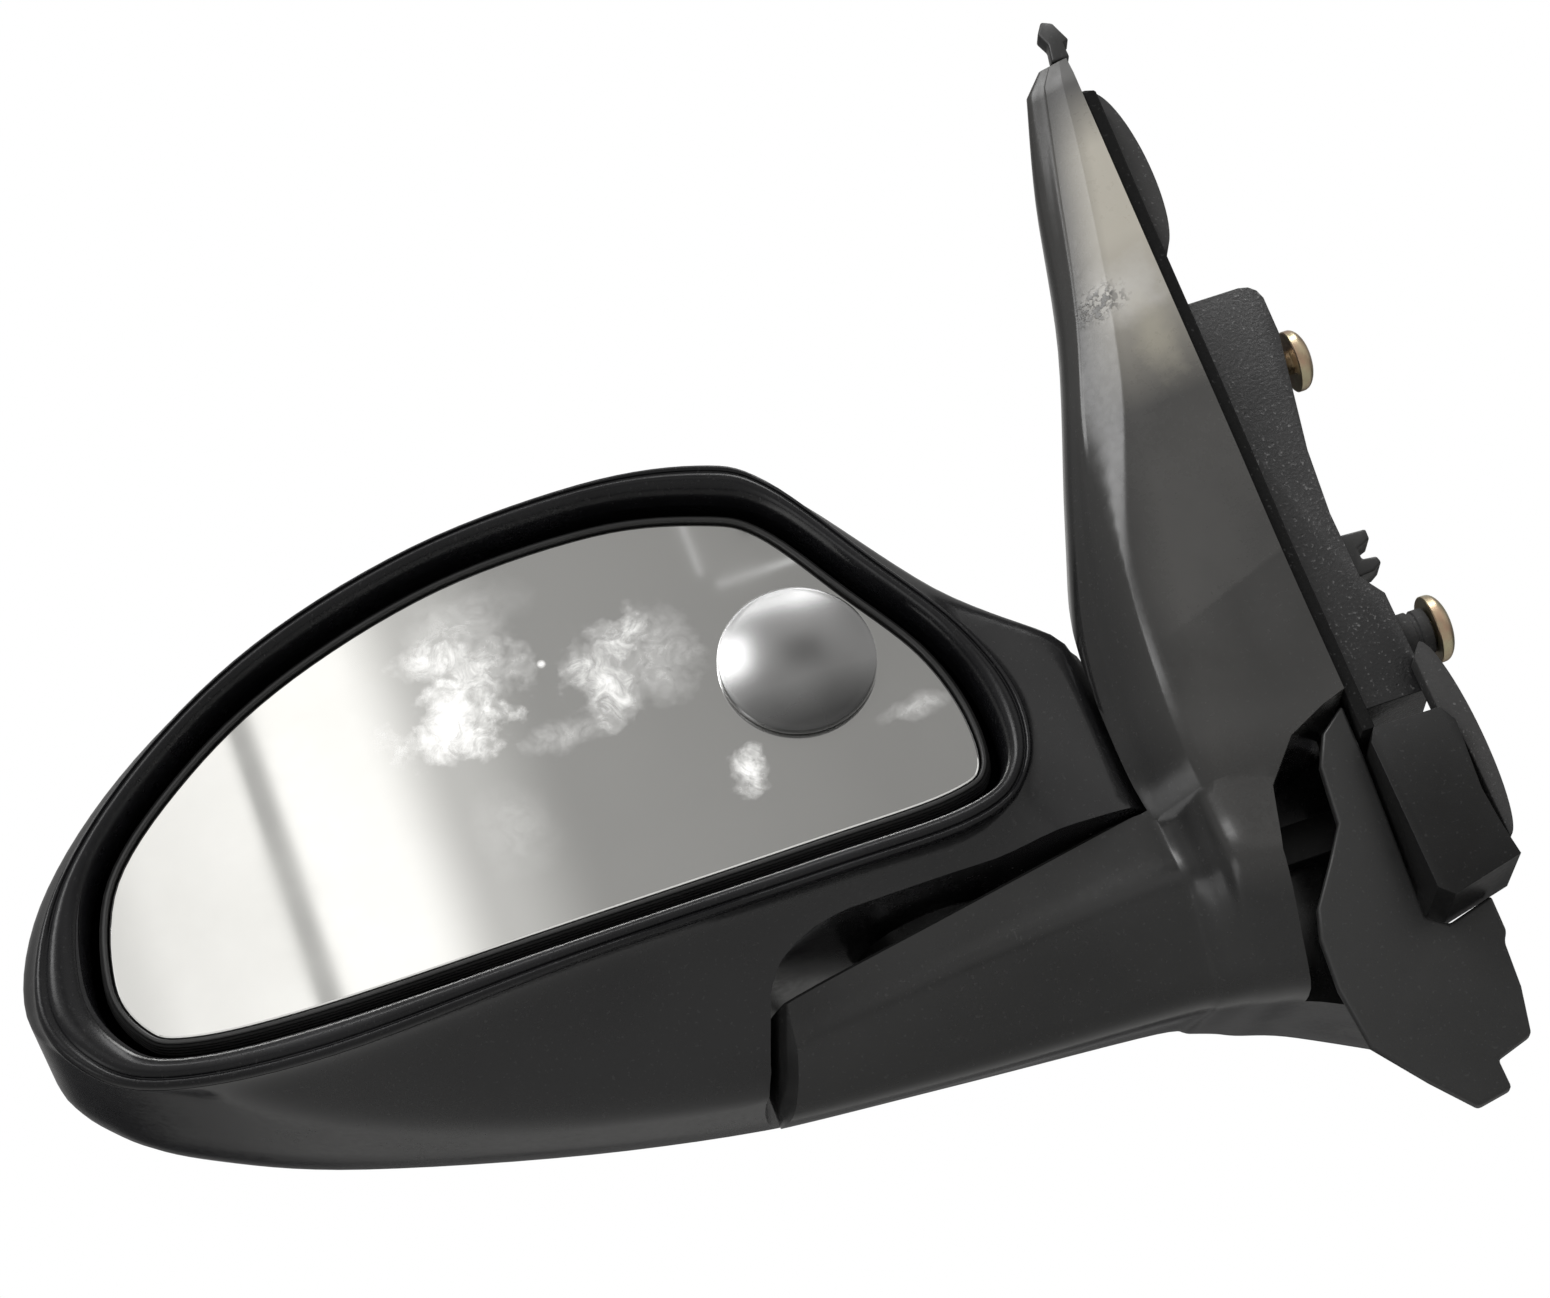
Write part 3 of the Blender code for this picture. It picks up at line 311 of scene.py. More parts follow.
def cover_material():
    """Glossy black moulding of the base, scuffed and with a painted highlight at the top of the
    sail.
    """
    n = plastic("cover_gloss", (0.007, 0.007, 0.007), (0.013, 0.013, 0.013), (0.14, 0.26))
    base = n.shader.inputs["Base Color"].links[0].from_socket
    rough = n.shader.inputs["Roughness"].links[0].from_socket
    height, side = n.axis("Z"), n.axis("X")
    # Haze lies on the rear face inboard of the crease, and its lighter colour is partly a painted
    # sheen; below a line across it that tone is cut back, a painted shade.
    rear = n.spread(n.axis("Y"), 0.006, -0.002)
    inboard = n.spread(n.math("ADD", side, n.math("MULTIPLY", height, -0.17)), -0.046, -0.030)
    haze = n.math("MULTIPLY", n.math("MULTIPLY", rear, inboard),
                  n.spread(n.noise(38.0, 3.0), 0.25, 0.6, 0.6, 1.0))
    painted_shade_below_line = n.spread(n.math("ADD", height, n.math("MULTIPLY", side, -0.32)), 0.0336, 0.0326)
    painted_shade_below_line = n.math("MULTIPLY", painted_shade_below_line, n.spread(side, -0.034, -0.016, 0.0, 0.45))
    haze = n.math("MULTIPLY", haze, n.math("SUBTRACT", 1.0, painted_shade_below_line))
    # Painted highlight as a pale band near the top, with a rubbed patch, a streak and pits below
    # it.
    painted_highlight_band = n.math("MULTIPLY", n.spread(height, 0.070, 0.108), n.spread(height, 0.142, 0.128))
    across = n.math("ADD", side, n.math("MULTIPLY", height, -0.22))
    painted_highlight_band = n.math("MULTIPLY", n.math("MULTIPLY", painted_highlight_band, rear),
                    n.spread(across, -0.042, -0.034))
    patches = n.blob((-11, -8, 96), (11, 10, 9), 0.8, 0.5, 160.0)
    streak = n.blob((-9, -8, 84), (5, 10, 12), 0.8, 0.5, 220.0)
    pits = n.math("MULTIPLY", n.blob((-17, -6, 96), (7, 9, 5), 0.7, 0.6, 500.0),
                  n.spread(n.noise(900.0, 3.0), 0.46, 0.56))
    # Lighter tone of the haze, partly a painted sheen, cut back by the painted shade below the
    # line.
    colour = n.mix(n.math("MULTIPLY", haze, 0.9), base, (0.045, 0.044, 0.042))
    # Pale colour of the painted highlight band.
    colour = n.mix(n.math("MULTIPLY", painted_highlight_band, 0.85), colour, (0.35, 0.328, 0.28))
    colour = n.mix(n.math("MULTIPLY", patches, 0.55), colour, (0.42, 0.41, 0.39))
    colour = n.mix(n.math("MULTIPLY", streak, 0.40), colour, (0.30, 0.28, 0.22))
    colour = n.mix(n.math("MULTIPLY", pits, 0.8), colour, (0.02, 0.02, 0.02))
    n.put(n.shader, "Base Color", colour)
    n.put(n.shader, "Roughness", n.math("ADD", rough, n.math("MULTIPLY", haze, 0.10)))
    n.bump(n.math("ADD", n.noise(45.0, 2.0), n.math("MULTIPLY", pits, 0.4)), 0.20 * MM, 0.5)
    return n.made


def smudges(n):
    """Greasy marks of fingers on the main glass."""
    marks = 0.0
    for centre, size, share, ragged in SMUDGES:
        blob = n.math("MULTIPLY", n.blob(centre, size, 0.95, ragged * 0.8, 130.0), share)
        marks = n.math("MAXIMUM", marks, blob)
    smear = n.spread(n.noise(190.0, 5.0, 0.7, distortion=1.5), 0.36, 0.62, 0.35, 1.0)
    streaks = n.spread(n.noise(260.0, 4.0), 0.45, 0.8)
    return n.math("MULTIPLY", n.math("MULTIPLY", marks, smear),
                  n.spread(streaks, 0.0, 1.0, 0.75, 1.0))


def glass_material(name, rough, silver, marked):
    """Silvered glass with a thin film of dust; the marked one also has smudges, the other a painted
    shade that darkens it towards the bottom.
    """
    n = Nodes(name)
    film = n.spread(n.noise(35.0, 4.0), 0.35, 0.75)
    n.put(n.shader, "Metallic", 1.0)
    haze = n.math("MULTIPLY", film, 0.03)
    if marked:
        dull = silver * 0.93
        n.put(n.shader, "Base Color", n.mix(film, (silver, silver, silver * 0.985),
                                              (dull, dull, silver * 0.91)))
        haze = n.math("MINIMUM", n.math("ADD", haze, n.math("MULTIPLY", smudges(n), 1.7)), 0.95)
    else:
        # Painted shade: the unmarked glass darkens towards its bottom, standing in for a darker
        # reflection.
        painted_reflection_shade = n.spread(n.axis("Z"), 0.0345, 0.043, 0.22, 1.0)
        n.put(n.shader, "Base Color", n.mix(painted_reflection_shade, (0.03, 0.03, 0.03), (silver, silver, silver)))
    n.put(n.shader, "Roughness", n.math("ADD", n.spread(film, 0, 1, rough, rough + 0.02),
                                        n.math("MULTIPLY", haze, 0.25)))
    dust = n.add("ShaderNodeBsdfDiffuse", Color=(0.95, 0.95, 0.94, 1.0))
    both = n.fill(n.add("ShaderNodeMixShader"), haze, n.shader.outputs[0], dust.outputs[0])
    n.tree.links.new(both.outputs[0], n.output.inputs["Surface"])
    return n.made


def casting_material():
    """Black-coated die casting with a pitted, sandy skin worn shiny on the high spots."""
    n = plastic("casting", (0.006, 0.006, 0.0065), (0.018, 0.0175, 0.018), (0.34, 0.52),
                dust=0.5)
    sand = n.noise(1300.0, 4.0, 0.65)
    pits = n.spread(n.noise(520.0, 3.0), 0.24, 0.34)
    n.bump(n.math("ADD", sand, n.math("MULTIPLY", pits, 0.8)), 0.16 * MM, 0.9)
    base = n.shader.inputs["Base Color"].links[0].from_socket
    worn = n.math("MULTIPLY", n.spread(sand, 0.56, 0.70), n.spread(n.noise(60.0), 0.4, 0.65))
    n.put(n.shader, "Base Color", n.mix(n.math("MULTIPLY", worn, 0.5), base, (0.20, 0.20, 0.20)))
    return n.made


LOOKS = {
    "cover": cover_material(),
    "shell": plastic("shell_gloss", (0.008, 0.008, 0.0085), (0.013, 0.013, 0.0135),
                     (0.16, 0.28)).made,
    "satin": plastic("satin_plastic", (0.009, 0.009, 0.009), (0.016, 0.016, 0.016), (0.30, 0.42),
                     grain=0.02).made,
    "channel": plastic("channel_plastic", (0.003, 0.003, 0.0035), (0.007, 0.007, 0.008),
                       (0.22, 0.32), grain=0.01, specular=0.22).made,
    "gasket": plastic("black_foam", (0.002, 0.002, 0.002), (0.005, 0.005, 0.005), (0.8, 0.95),
                      grain=0.08, grain_scale=1400.0, dust=0.15, specular=0.15).made,
    "casting": casting_material(),
    "block": plastic("block_plastic", (0.003, 0.003, 0.003), (0.007, 0.007, 0.007), (0.34, 0.46),
                     grain=0.02, specular=0.2).made,
    "rubber": plastic("foam_rubber", (0.022, 0.022, 0.022), (0.036, 0.035, 0.035), (0.75, 0.9),
                      grain=0.10, grain_scale=1400.0, dust=0.4, specular=0.3).made,
    "white": plastic("white_acetal", (0.62, 0.61, 0.57), (0.72, 0.71, 0.67), (0.40, 0.5),
                     grain=0.01, dust=0.0).made,
    "zinc": metal("yellow_zinc", (0.42, 0.38, 0.25), (0.42, 0.29, 0.20), (0.26, 0.44)).made,
    "steel": metal("bare_steel", (0.50, 0.50, 0.51), (0.40, 0.39, 0.38), (0.24, 0.42)).made,
    "brass": metal("drawn_brass", (0.70, 0.53, 0.24), (0.58, 0.40, 0.18), (0.28, 0.42)).made,
    "aluminium": metal("cast_aluminium", (0.58, 0.59, 0.60), (0.50, 0.50, 0.51), (0.38, 0.55),
                       500.0).made,
    "mirror": glass_material("silvered_glass", 0.012, 0.86, marked=True),
    "spot": glass_material("spot_glass", 0.26, 0.19, marked=False),
}
SLOT_LOOK = {"gloss_black": "shell", "satin_black": "satin", "cast_black": "casting",
             "rubber": "rubber", "white_plastic": "white", "zinc_yellow": "zinc",
             "steel": "steel", "brass": "brass", "aluminium": "aluminium", "mirror": "mirror"}


# -------- shapes

def smooth_step(value):
    """Ease from 0 to 1 as value goes from 0 to 1."""
    value = min(max(value, 0.0), 1.0)
    return value * value * (3.0 - 2.0 * value)


def lerp(start, end, share):
    """Point a share of the way from start to end."""
    return tuple(a + (b - a) * share for a, b in zip(start, end))


def catmull(before, start, end, after, t):
    """Point on the Catmull-Rom curve between start and end."""
    return tuple(0.5 * (2 * b + (c - a) * t + (2 * a - 5 * b + 4 * c - d) * t * t
                        + (3 * b - a - 3 * c + d) * t ** 3)
                 for a, b, c, d in zip(before, start, end, after))


def spline_loop(points, per_span=FINE):
    """Closed smooth curve through points."""
    count = len(points)
    return [catmull(*(points[(index + step) % count] for step in (-1, 0, 1, 2)), part / per_span)
            for index in range(count) for part in range(per_span)]


def spline_open(points, per_span):
    """Open smooth curve through points, ends included."""
    last = len(points) - 1
    curve = []
    for index in range(last):
        four = [points[min(max(index + step, 0), last)] for step in (-1, 0, 1, 2)]
        curve += [catmull(*four, part / per_span) for part in range(per_span)]
    return curve + [tuple(points[-1])]


def offset_loop(points, distance):
    """Move an anticlockwise closed outline inwards by distance, with mitred corners."""
    count = len(points)
    moved = []
    for index in range(count):
        before, here, after = (Vector(points[(index + step) % count]) for step in (-1, 0, 1))
        first = (here - before).normalized()
        second = (after - here).normalized()
        normal_a = Vector((-first.y, first.x))
        normal_b = Vector((-second.y, second.x))
        shift = (normal_a + normal_b) / max(1.0 + normal_a.dot(normal_b), 0.35)
        moved.append(tuple(here + shift * distance))
    return moved


def finish_object(name, mesh_data, look, smooth_angle=35.0):
    """Write a bmesh as a named object with its faces pointing out."""
    bmesh.ops.remove_doubles(mesh_data, verts=mesh_data.verts, dist=1e-7)
    bmesh.ops.recalc_face_normals(mesh_data, faces=mesh_data.faces)
    mesh = bpy.data.meshes.new(name)
    mesh_data.to_mesh(mesh)
    mesh_data.free()
    mesh.materials.append(LOOKS[look])
    shade(mesh, smooth_angle)
    made = bpy.data.objects.new(name, mesh)
    bpy.context.scene.collection.objects.link(made)
    return made


def shade(mesh, smooth_angle=35.0):
    """Shade smooth, except across edges sharper than an angle in degrees."""
    mesh.shade_smooth()
    mesh.set_sharp_from_angle(angle=math.radians(smooth_angle))


def loft(name, rings, look, ends="cap", smooth_angle=35.0):
    """Skin closed rings of points; ends is "cap" for flat ends or "join" for a torus."""
    mesh_data = bmesh.new()
    rows = [[mesh_data.verts.new([value * MM for value in point]) for point in ring]
            for ring in rings]
    count = len(rows[0])
    pairs = list(zip(rows, rows[1:]))
    if ends == "join":
        pairs.append((rows[-1], rows[0]))
    for lower, upper in pairs:
        for index in range(count):
            following = (index + 1) % count
            mesh_data.faces.new((lower[index], lower[following], upper[following], upper[index]))
    if ends == "cap":
        mesh_data.faces.new(rows[0])
        mesh_data.faces.new(rows[-1])
    return finish_object(name, mesh_data, look, smooth_angle)


def prism(name, outline, axis, low, high, look="steel"):
    """Extrude an outline along X, Y or Z; the outline gives the other two, in that order."""
    place = {"X": lambda a, b, c: (c, a, b), "Y": lambda a, b, c: (a, c, b),
             "Z": lambda a, b, c: (a, b, c)}[axis]
    return loft(name, [[place(a, b, level) for a, b in outline] for level in (low, high)], look)


def box(name, low, high, look="steel"):
    """Box between two corners."""
    outline = [(low[0], low[1]), (high[0], low[1]), (high[0], high[1]), (low[0], high[1])]
    return prism(name, outline, "Z", low[2], high[2], look)


def turned(name, profile, origin, axis, look="steel", segments=64):
    """Turn a closed profile of (radius, height) about an axis through origin."""
    turn = Vector((0, 0, 1)).rotation_difference(Vector(axis)).to_matrix()
    centre = Vector(origin)
    mesh_data = bmesh.new()
    columns = []
    for step in range(segments):
        angle = math.tau * step / segments
        columns.append([mesh_data.verts.new((centre + turn @ Vector(
            (r * math.cos(angle), r * math.sin(angle), h))) * MM) for r, h in profile])
    count = len(profile)
    for step in range(segments):
        left, right = columns[step], columns[(step + 1) % segments]
        for index in range(count):
            following = (index + 1) % count
            if profile[index][0] == 0 and profile[following][0] == 0:
                continue
            mesh_data.faces.new((left[index], left[following], right[following], right[index]))
    bmesh.ops.remove_doubles(mesh_data, verts=mesh_data.verts, dist=1e-7)
    bmesh.ops.dissolve_degenerate(mesh_data, edges=mesh_data.edges, dist=1e-7)
    return finish_object(name, mesh_data, look)


def cylinder(name, origin, axis, radius, low, high, look="steel", segments=64):
    """Plain cylinder between two heights along an axis."""
    return turned(name, [(0, low), (radius, low), (radius, high), (0, high)], origin, axis, look,
                  segments)


def take(item):
    """Replace an object's mesh with what its modifiers make of it."""
    depsgraph = bpy.context.evaluated_depsgraph_get()
    mesh = bpy.data.meshes.new_from_object(item.evaluated_get(depsgraph))
    item.modifiers.clear()
    item.data = mesh
    return item


def combine(target, tool, operation):
    """Apply an exact boolean to target, weld the result and remove the tool."""
    cut = target.modifiers.new(operation.title(), "BOOLEAN")
    cut.operation = operation
    cut.solver = "EXACT"
    cut.object = tool
    take(target)
    mesh_data = bmesh.new()
    mesh_data.from_mesh(target.data)
    bmesh.ops.remove_doubles(mesh_data, verts=mesh_data.verts, dist=WELD)
    bmesh.ops.dissolve_degenerate(mesh_data, edges=mesh_data.edges, dist=WELD)
    mesh_data.to_mesh(target.data)
    mesh_data.free()
    target.data.materials.clear()
    target.data.materials.append(LOOKS["shell"])
    bpy.data.objects.remove(tool)
    return target


def soften(item, width, segments=3, angle=32.0):
    """Round the sharp edges of a finished piece."""
    mesh_data = bmesh.new()
    mesh_data.from_mesh(item.data)
    bmesh.ops.dissolve_limit(mesh_data, angle_limit=math.radians(0.6), verts=mesh_data.verts,
                             edges=mesh_data.edges)
    mesh_data.to_mesh(item.data)
    mesh_data.free()
    rounding = item.modifiers.new("Edges", "BEVEL")
    rounding.width = width * MM
    rounding.segments = segments
    rounding.limit_method = "ANGLE"
    rounding.angle_limit = math.radians(angle)
    take(item)
    shade(item.data, 40.0)
    return item


def place(item, nodes, body, slot, look):
    """Hang a piece on its body in place of the CAD nodes it stands for."""
    item.data.materials.clear()
    item.data.materials.append(LOOKS[look])
    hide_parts(*nodes)
    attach(item, body)
    return item


# -------- folding head

def soft_min(first, second, width):
    """Smaller of two lengths, rounded where they cross."""
    if abs(first - second) > 12 * width:
        return min(first, second)
    return -width * math.log(math.exp(-first / width) + math.exp(-second / width))


def head_outline(depth):
    """Outline (X, Z) of the housing's outside at depth Y."""
    closing = max(depth - WAIST_Y, 0.0) / (NOSE_Y - WAIST_Y)
    scale = (1.0 - closing ** NOSE_POWER) ** (1.0 / NOSE_POWER)
    reach = PIVOT[0] + math.sqrt(HEAD_END_R ** 2 - (depth - PIVOT[1]) ** 2)
    outline = []
    for rim_point, body_point in zip(spline_loop(RIM), spline_loop(BODY)):
        belly = smooth_step((BELLY_TOP - body_point[1]) / BELLY_FADE)
        belly *= smooth_step((CORNER_X - body_point[0]) / CORNER_FADE)
        full = FULL_Y + (BELLY_FULL_Y - FULL_Y) * belly
        spread = smooth_step((depth - MOUTH_Y) / (full - MOUTH_Y))
        x, z = lerp(NOSE_CENTRE, lerp(rim_point, body_point, spread), scale)
        outline.append((soft_min(x, reach, END_SOFTNESS), z))
    return outline


def head_solid(name, inset):
    """Housing as a solid, inset from its outside; an inset solid also runs out of the mouth."""
    rings = []
    levels = HEAD_LEVELS[::2] if inset else HEAD_LEVELS
    for depth in levels:
        outline = offset_loop(head_outline(depth), inset) if inset else head_outline(depth)
        shift = inset * smooth_step((depth - FULL_Y) / (WAIST_Y - FULL_Y))
        rings.append([(x, depth - shift, z) for x, z in outline])
    if inset:
        rings.insert(0, [(x, y - 5.0, z) for x, y, z in rings[0]])
    return loft(name, rings, "shell")


def cut_step(solid, grow, sides=48):
    """Cut away the space under the head that the arm fills; its ceiling is rounded in."""
    rings = []
    top = HEAD_FLOOR + grow
    for drop, narrow in STEP_ROUNDING:
        radius, flat_x, wide = STEP_R + grow - narrow, STEP_END_X - grow + narrow, 150.0
        half = math.acos((flat_x - PIVOT[0]) / radius)
        outline = [(flat_x, PIVOT[1] - wide), (20, PIVOT[1] - wide), (20, PIVOT[1] + wide),
                   (flat_x, PIVOT[1] + wide)]
        for step in range(sides + 1):
            angle = half + (math.tau - 2 * half) * step / sides
            outline.append((PIVOT[0] + radius * math.cos(angle),
                            PIVOT[1] + radius * math.sin(angle)))
        rings.append([(x, y, top - drop) for x, y in outline])
    return combine(solid, loft("arm_space", rings, "shell"), "DIFFERENCE")


def make_housing_shell():
    """Outer shell of the head, open towards the glass, with its screw posts."""
    shell = cut_step(head_solid("housing_shell_look", 0), 0)
    combine(shell, cut_step(head_solid("hollow", WALL), WALL), "DIFFERENCE")
    combine(shell, cylinder("hole", (*PIVOT, 0), (0, 0, 1), STEM_HOLE_R, -8, 2), "DIFFERENCE")
    for (x, z), front in zip(FRAME_SCREWS, POST_FRONTS):
        post = cylinder("post", (x, 0, z), (0, 1, 0), POST_R, POST_Y, front, segments=24)
        combine(post, head_solid("limit", WALL / 2), "INTERSECT")
        combine(shell, post, "UNION")
        combine(shell, cylinder("pilot", (x, 0, z), (0, 1, 0), PILOT_R, 50, 70, segments=24),
                "DIFFERENCE")
    shade(shell.data, 32.0)
    return shell


def make_rim_bezel():
    """Rim round the mouth: thin outer bead, groove, crown, and a deep wall to the glass."""
    outer, opening = spline_loop(RIM), spline_loop(OPENING)
    back = MOUTH_Y - GAP
    deep = offset_loop(opening, -RIM_WALL)
    rings = [[(x, y, z) for x, z in (lerp(a, b, share) for a, b in zip(outer, opening))]
             for share, y in ((0.0, back), *RIM_PROFILE)]
    rings += [[(x, depth, z) for x, z in deep] for depth in (RIM_DEPTH, back)]
    return loft("rim_bezel_look", rings, "satin", "join", 45.0)


def holder_loop(inset):
    """Outline of the glass opening moved inwards."""
    return offset_loop(spline_loop(OPENING), inset)


def make_glass_holder():
    """Tray with a ribbed lip round the glass, two gimbal lugs and two spindle sockets."""
    front = GLASS_Y - 0.8
    sections = [(HOLDER_INSET, HOLDER_BACK), (HOLDER_INSET, HOLDER_BACK - 1.0)]
    for rib in range(HOLDER_RIBS):
        inset = HOLDER_INSET + 0.16 * rib
        level = 13.6 - 1.05 * rib
        sections += [(inset, level), (inset - 0.22, level - 0.25), (inset - 0.22, level - 0.5),
                     (inset + 0.05, level - 0.7)]
    sections += [(2.85, front + 0.45), (2.95, front + 0.12), (3.15, front), (3.55, front),
                 (3.8, front + 0.15), (3.95, front + 0.5), (LIP_INSET, HOLDER_FLOOR)]
    rings = [[(x, y, z) for x, z in holder_loop(inset)] for inset, y in sections]
    tray = loft("glass_holder_look", rings, "satin")
    for side in (-1, 1):
        low, high = sorted((CX + side * LUG_NEAR, CX + side * LUG_FAR))
        lug = box("lug", (low, HOLDER_BACK - 1, CZ - 4), (high, CY + 3.5, CZ + 4))
        combine(tray, lug, "UNION")
    bore = cylinder("bore", (0, CY, CZ), (1, 0, 0), PIN_BORE_R, CX - 9, CX + 9, segments=32)
    combine(tray, bore, "DIFFERENCE")
    for x, z in ((CX + LEVER, CZ), (CX, CZ - LEVER)):
        socket = [(4.9, HOLDER_BACK - 1), (6.6, HOLDER_BACK - 1), (6.6, 21.0), (4.9, 21.0)]
        cup = turned("cup", socket, (x, 0, z), (0, 1, 0), "satin", 32)
        combine(tray, cup, "UNION")
    shade(tray.data, 30.0)
    return tray


def make_mirror_glass():
    """Flat glass with ground edges."""
    sections = [(GLASS_INSET + 0.45, GLASS_Y), (GLASS_INSET + 0.15, GLASS_Y + 0.12),
                (GLASS_INSET, GLASS_Y + 0.45), (GLASS_INSET, GLASS_Y + GLASS_THICK)]
    rings = [[(x, y, z) for x, z in holder_loop(inset)] for inset, y in sections]
    return loft("mirror_glass_look", rings, "mirror", smooth_angle=12.0)


def make_spot():
    """Stick-on convex mirror in a thin dark-edged rim."""
    profile = [(0, 0.3), (15.4, 0.3), (15.85, 0.5), (16.0, 0.9), (15.95, 1.5), (15.7, 1.95),
               (15.35, 2.12)]
    for step in range(SPOT_STEPS + 1):
        r = SPOT_REACH * (1 - step / SPOT_STEPS)
        fall = SPOT_SPHERE - math.sqrt(SPOT_SPHERE ** 2 - r ** 2)
        profile.append((r, SPOT_CROWN - fall))
    centre = (SPOT_AT[0], GLASS_Y, SPOT_AT[1])
    return turned("blind_spot_mirror_look", profile, centre, (0, -1, 0), "spot", 96)


# -------- fixed base

def sail_section(row, inset, per_span=5):
    """Level outline (X, Y) of the sail, anticlockwise from the rear edge."""
    level, rear, crease_x, crease_y, corner_x, corner_y, front = row
    edge = SAIL_EDGE_X
    soft = smooth_step((level - CREASE_SHARP_Z) / CREASE_FADE)
    wide, long = corner_x - edge, front - corner_y
    turn = lerp((corner_x, corner_y), (crease_x, crease_y), 0.5)
    curve = [(edge, front), (edge + wide * 0.35, corner_y + long * 0.86),
             (edge + wide * 0.72, corner_y + long * 0.62),
             (edge + wide * 0.93, corner_y + long * 0.32), (corner_x, corner_y),
             (turn[0] + wide * 0.03, turn[1])]
    crease = (crease_x, crease_y)
    outline = spline_open(curve + [lerp(crease, (corner_x, corner_y), 0.04 + 0.36 * soft)],
                          per_span)
    outline += spline_open([lerp(crease, (edge, rear), 0.015 + 0.20 * soft),
                            lerp(crease, (edge, rear), 0.5), (edge, rear)], per_span)
    if not inset:
        return outline
    inner = offset_loop(outline, inset)
    inner[-1] = (5.0, rear + inset)
    inner[0] = (5.0, front - inset * 1.6)
    return inner


def sail_solid(name, inset):
    """Sail as a solid; the inset one is open towards the door."""
    if inset:
        rows = SAIL[:-2]
        low, high = SAIL[-3], SAIL[-2]
        rows.append(lerp(low, high, (high[0] - 6.0 - low[0]) / (high[0] - low[0])))
        rings = [[(x, y, row[0]) for x, y in sail_section(row, inset)] for row in rows]
        rings[0] = [(x, y, -20.0) for x, y, _ in rings[0]]
    else:
        rows = spline_open(SAIL[:-1], 6) + [SAIL[-1]]
        rings = [[(x, y, row[0]) for x, y in sail_section(row, 0)] for row in rows]
    return loft(name, rings, "cover")


def arm_section(row, inset, per_span=5):
    """Upright outline (Y, Z) across the arm."""
    _, rear_top, rear, bottom, front, front_top = row
    keel = lerp(bottom, front, 0.5)
    under = lerp(rear, bottom, 0.55)
    curve = [(rear_top[0] + 0.2, rear_top[1] - 0.7), lerp(rear_top, rear, 0.5), rear,
             (under[0] - 1.5, under[1] - 1.0), bottom, (keel[0], keel[1] - 1.0), front,
             (lerp(front, front_top, 0.5)[0] + 2.0, lerp(front, front_top, 0.5)[1]), front_top]
    outline = spline_open(curve, per_span)
    outline.append((rear_top[0] + 0.9, rear_top[1]))
    return offset_loop(outline, inset) if inset else outline


def flat_row(row):
    """One flat tuple of a row's numbers."""
    return (row[0], *(value for pair in row[1:] for value in pair))


def arm_solid(name, inset):
    """Arm as a solid that runs from its tip to the door."""
    flat = [flat_row(row) for row in ARM]
    rows = flat if inset else spline_open(flat, 6)
    rings = []
    for row in rows:
        pairs = (row[0], *((row[i], row[i + 1]) for i in range(1, 11, 2)))
        rings.append([(row[0], y, z) for y, z in arm_section(pairs, inset)])
    if inset:
        rings.append([(6.0, y, z) for _, y, z in rings[-1]])
    return loft(name, rings, "cover")


def base_solid(name, inset):
    """Sail and arm joined, cut to the pivot's cylinders; inset gives the hollow inside."""
    solid = combine(sail_solid(name, inset), arm_solid("arm", inset), "UNION")
    recess = cylinder("recess", (*PIVOT, 0), (0, 0, 1), RECESS_R + inset, RECESS_FLOOR - inset,
                      RECESS_TOP + inset, segments=160)
    combine(solid, recess, "DIFFERENCE")
    radius = ARM_TIP_R - inset
    tip = turned("tip", [(radius, -60), (90, -60), (90, 20), (radius, 20)], (*PIVOT, 0), (0, 0, 1),
                 "steel", 160)
    combine(tip, box("keep", (PIVOT[0] - 14, -60, -61), (60, 140, 21)), "DIFFERENCE")
    return combine(solid, tip, "DIFFERENCE")


def make_base_cover():
    """Moulded cover of the base: sail, recess for the head, and arm."""
    cover = base_solid("base_cover_look", 0)
    combine(cover, cylinder("turret", (*PIVOT, 0), (0, 0, 1), TURRET_R, -14.0, -5.2), "UNION")
    combine(cover, base_solid("hollow", WALL), "DIFFERENCE")
    combine(cover, cylinder("hole", (*PIVOT, 0), (0, 0, 1), COVER_HOLE_R, -24, 4), "DIFFERENCE")
    notch = [(-1, 1), (-8, -1.0), (-16, -4.5), (-22.7, -12), (-26, -25), (-27, -45), (-26, -60),
             (-20, -100), (20, -100), (20, 1)]
    combine(cover, prism("notch", notch, "Y", -40, NOTCH_DEPTH), "DIFFERENCE")
    shade(cover.data, 30.0)
    return cover


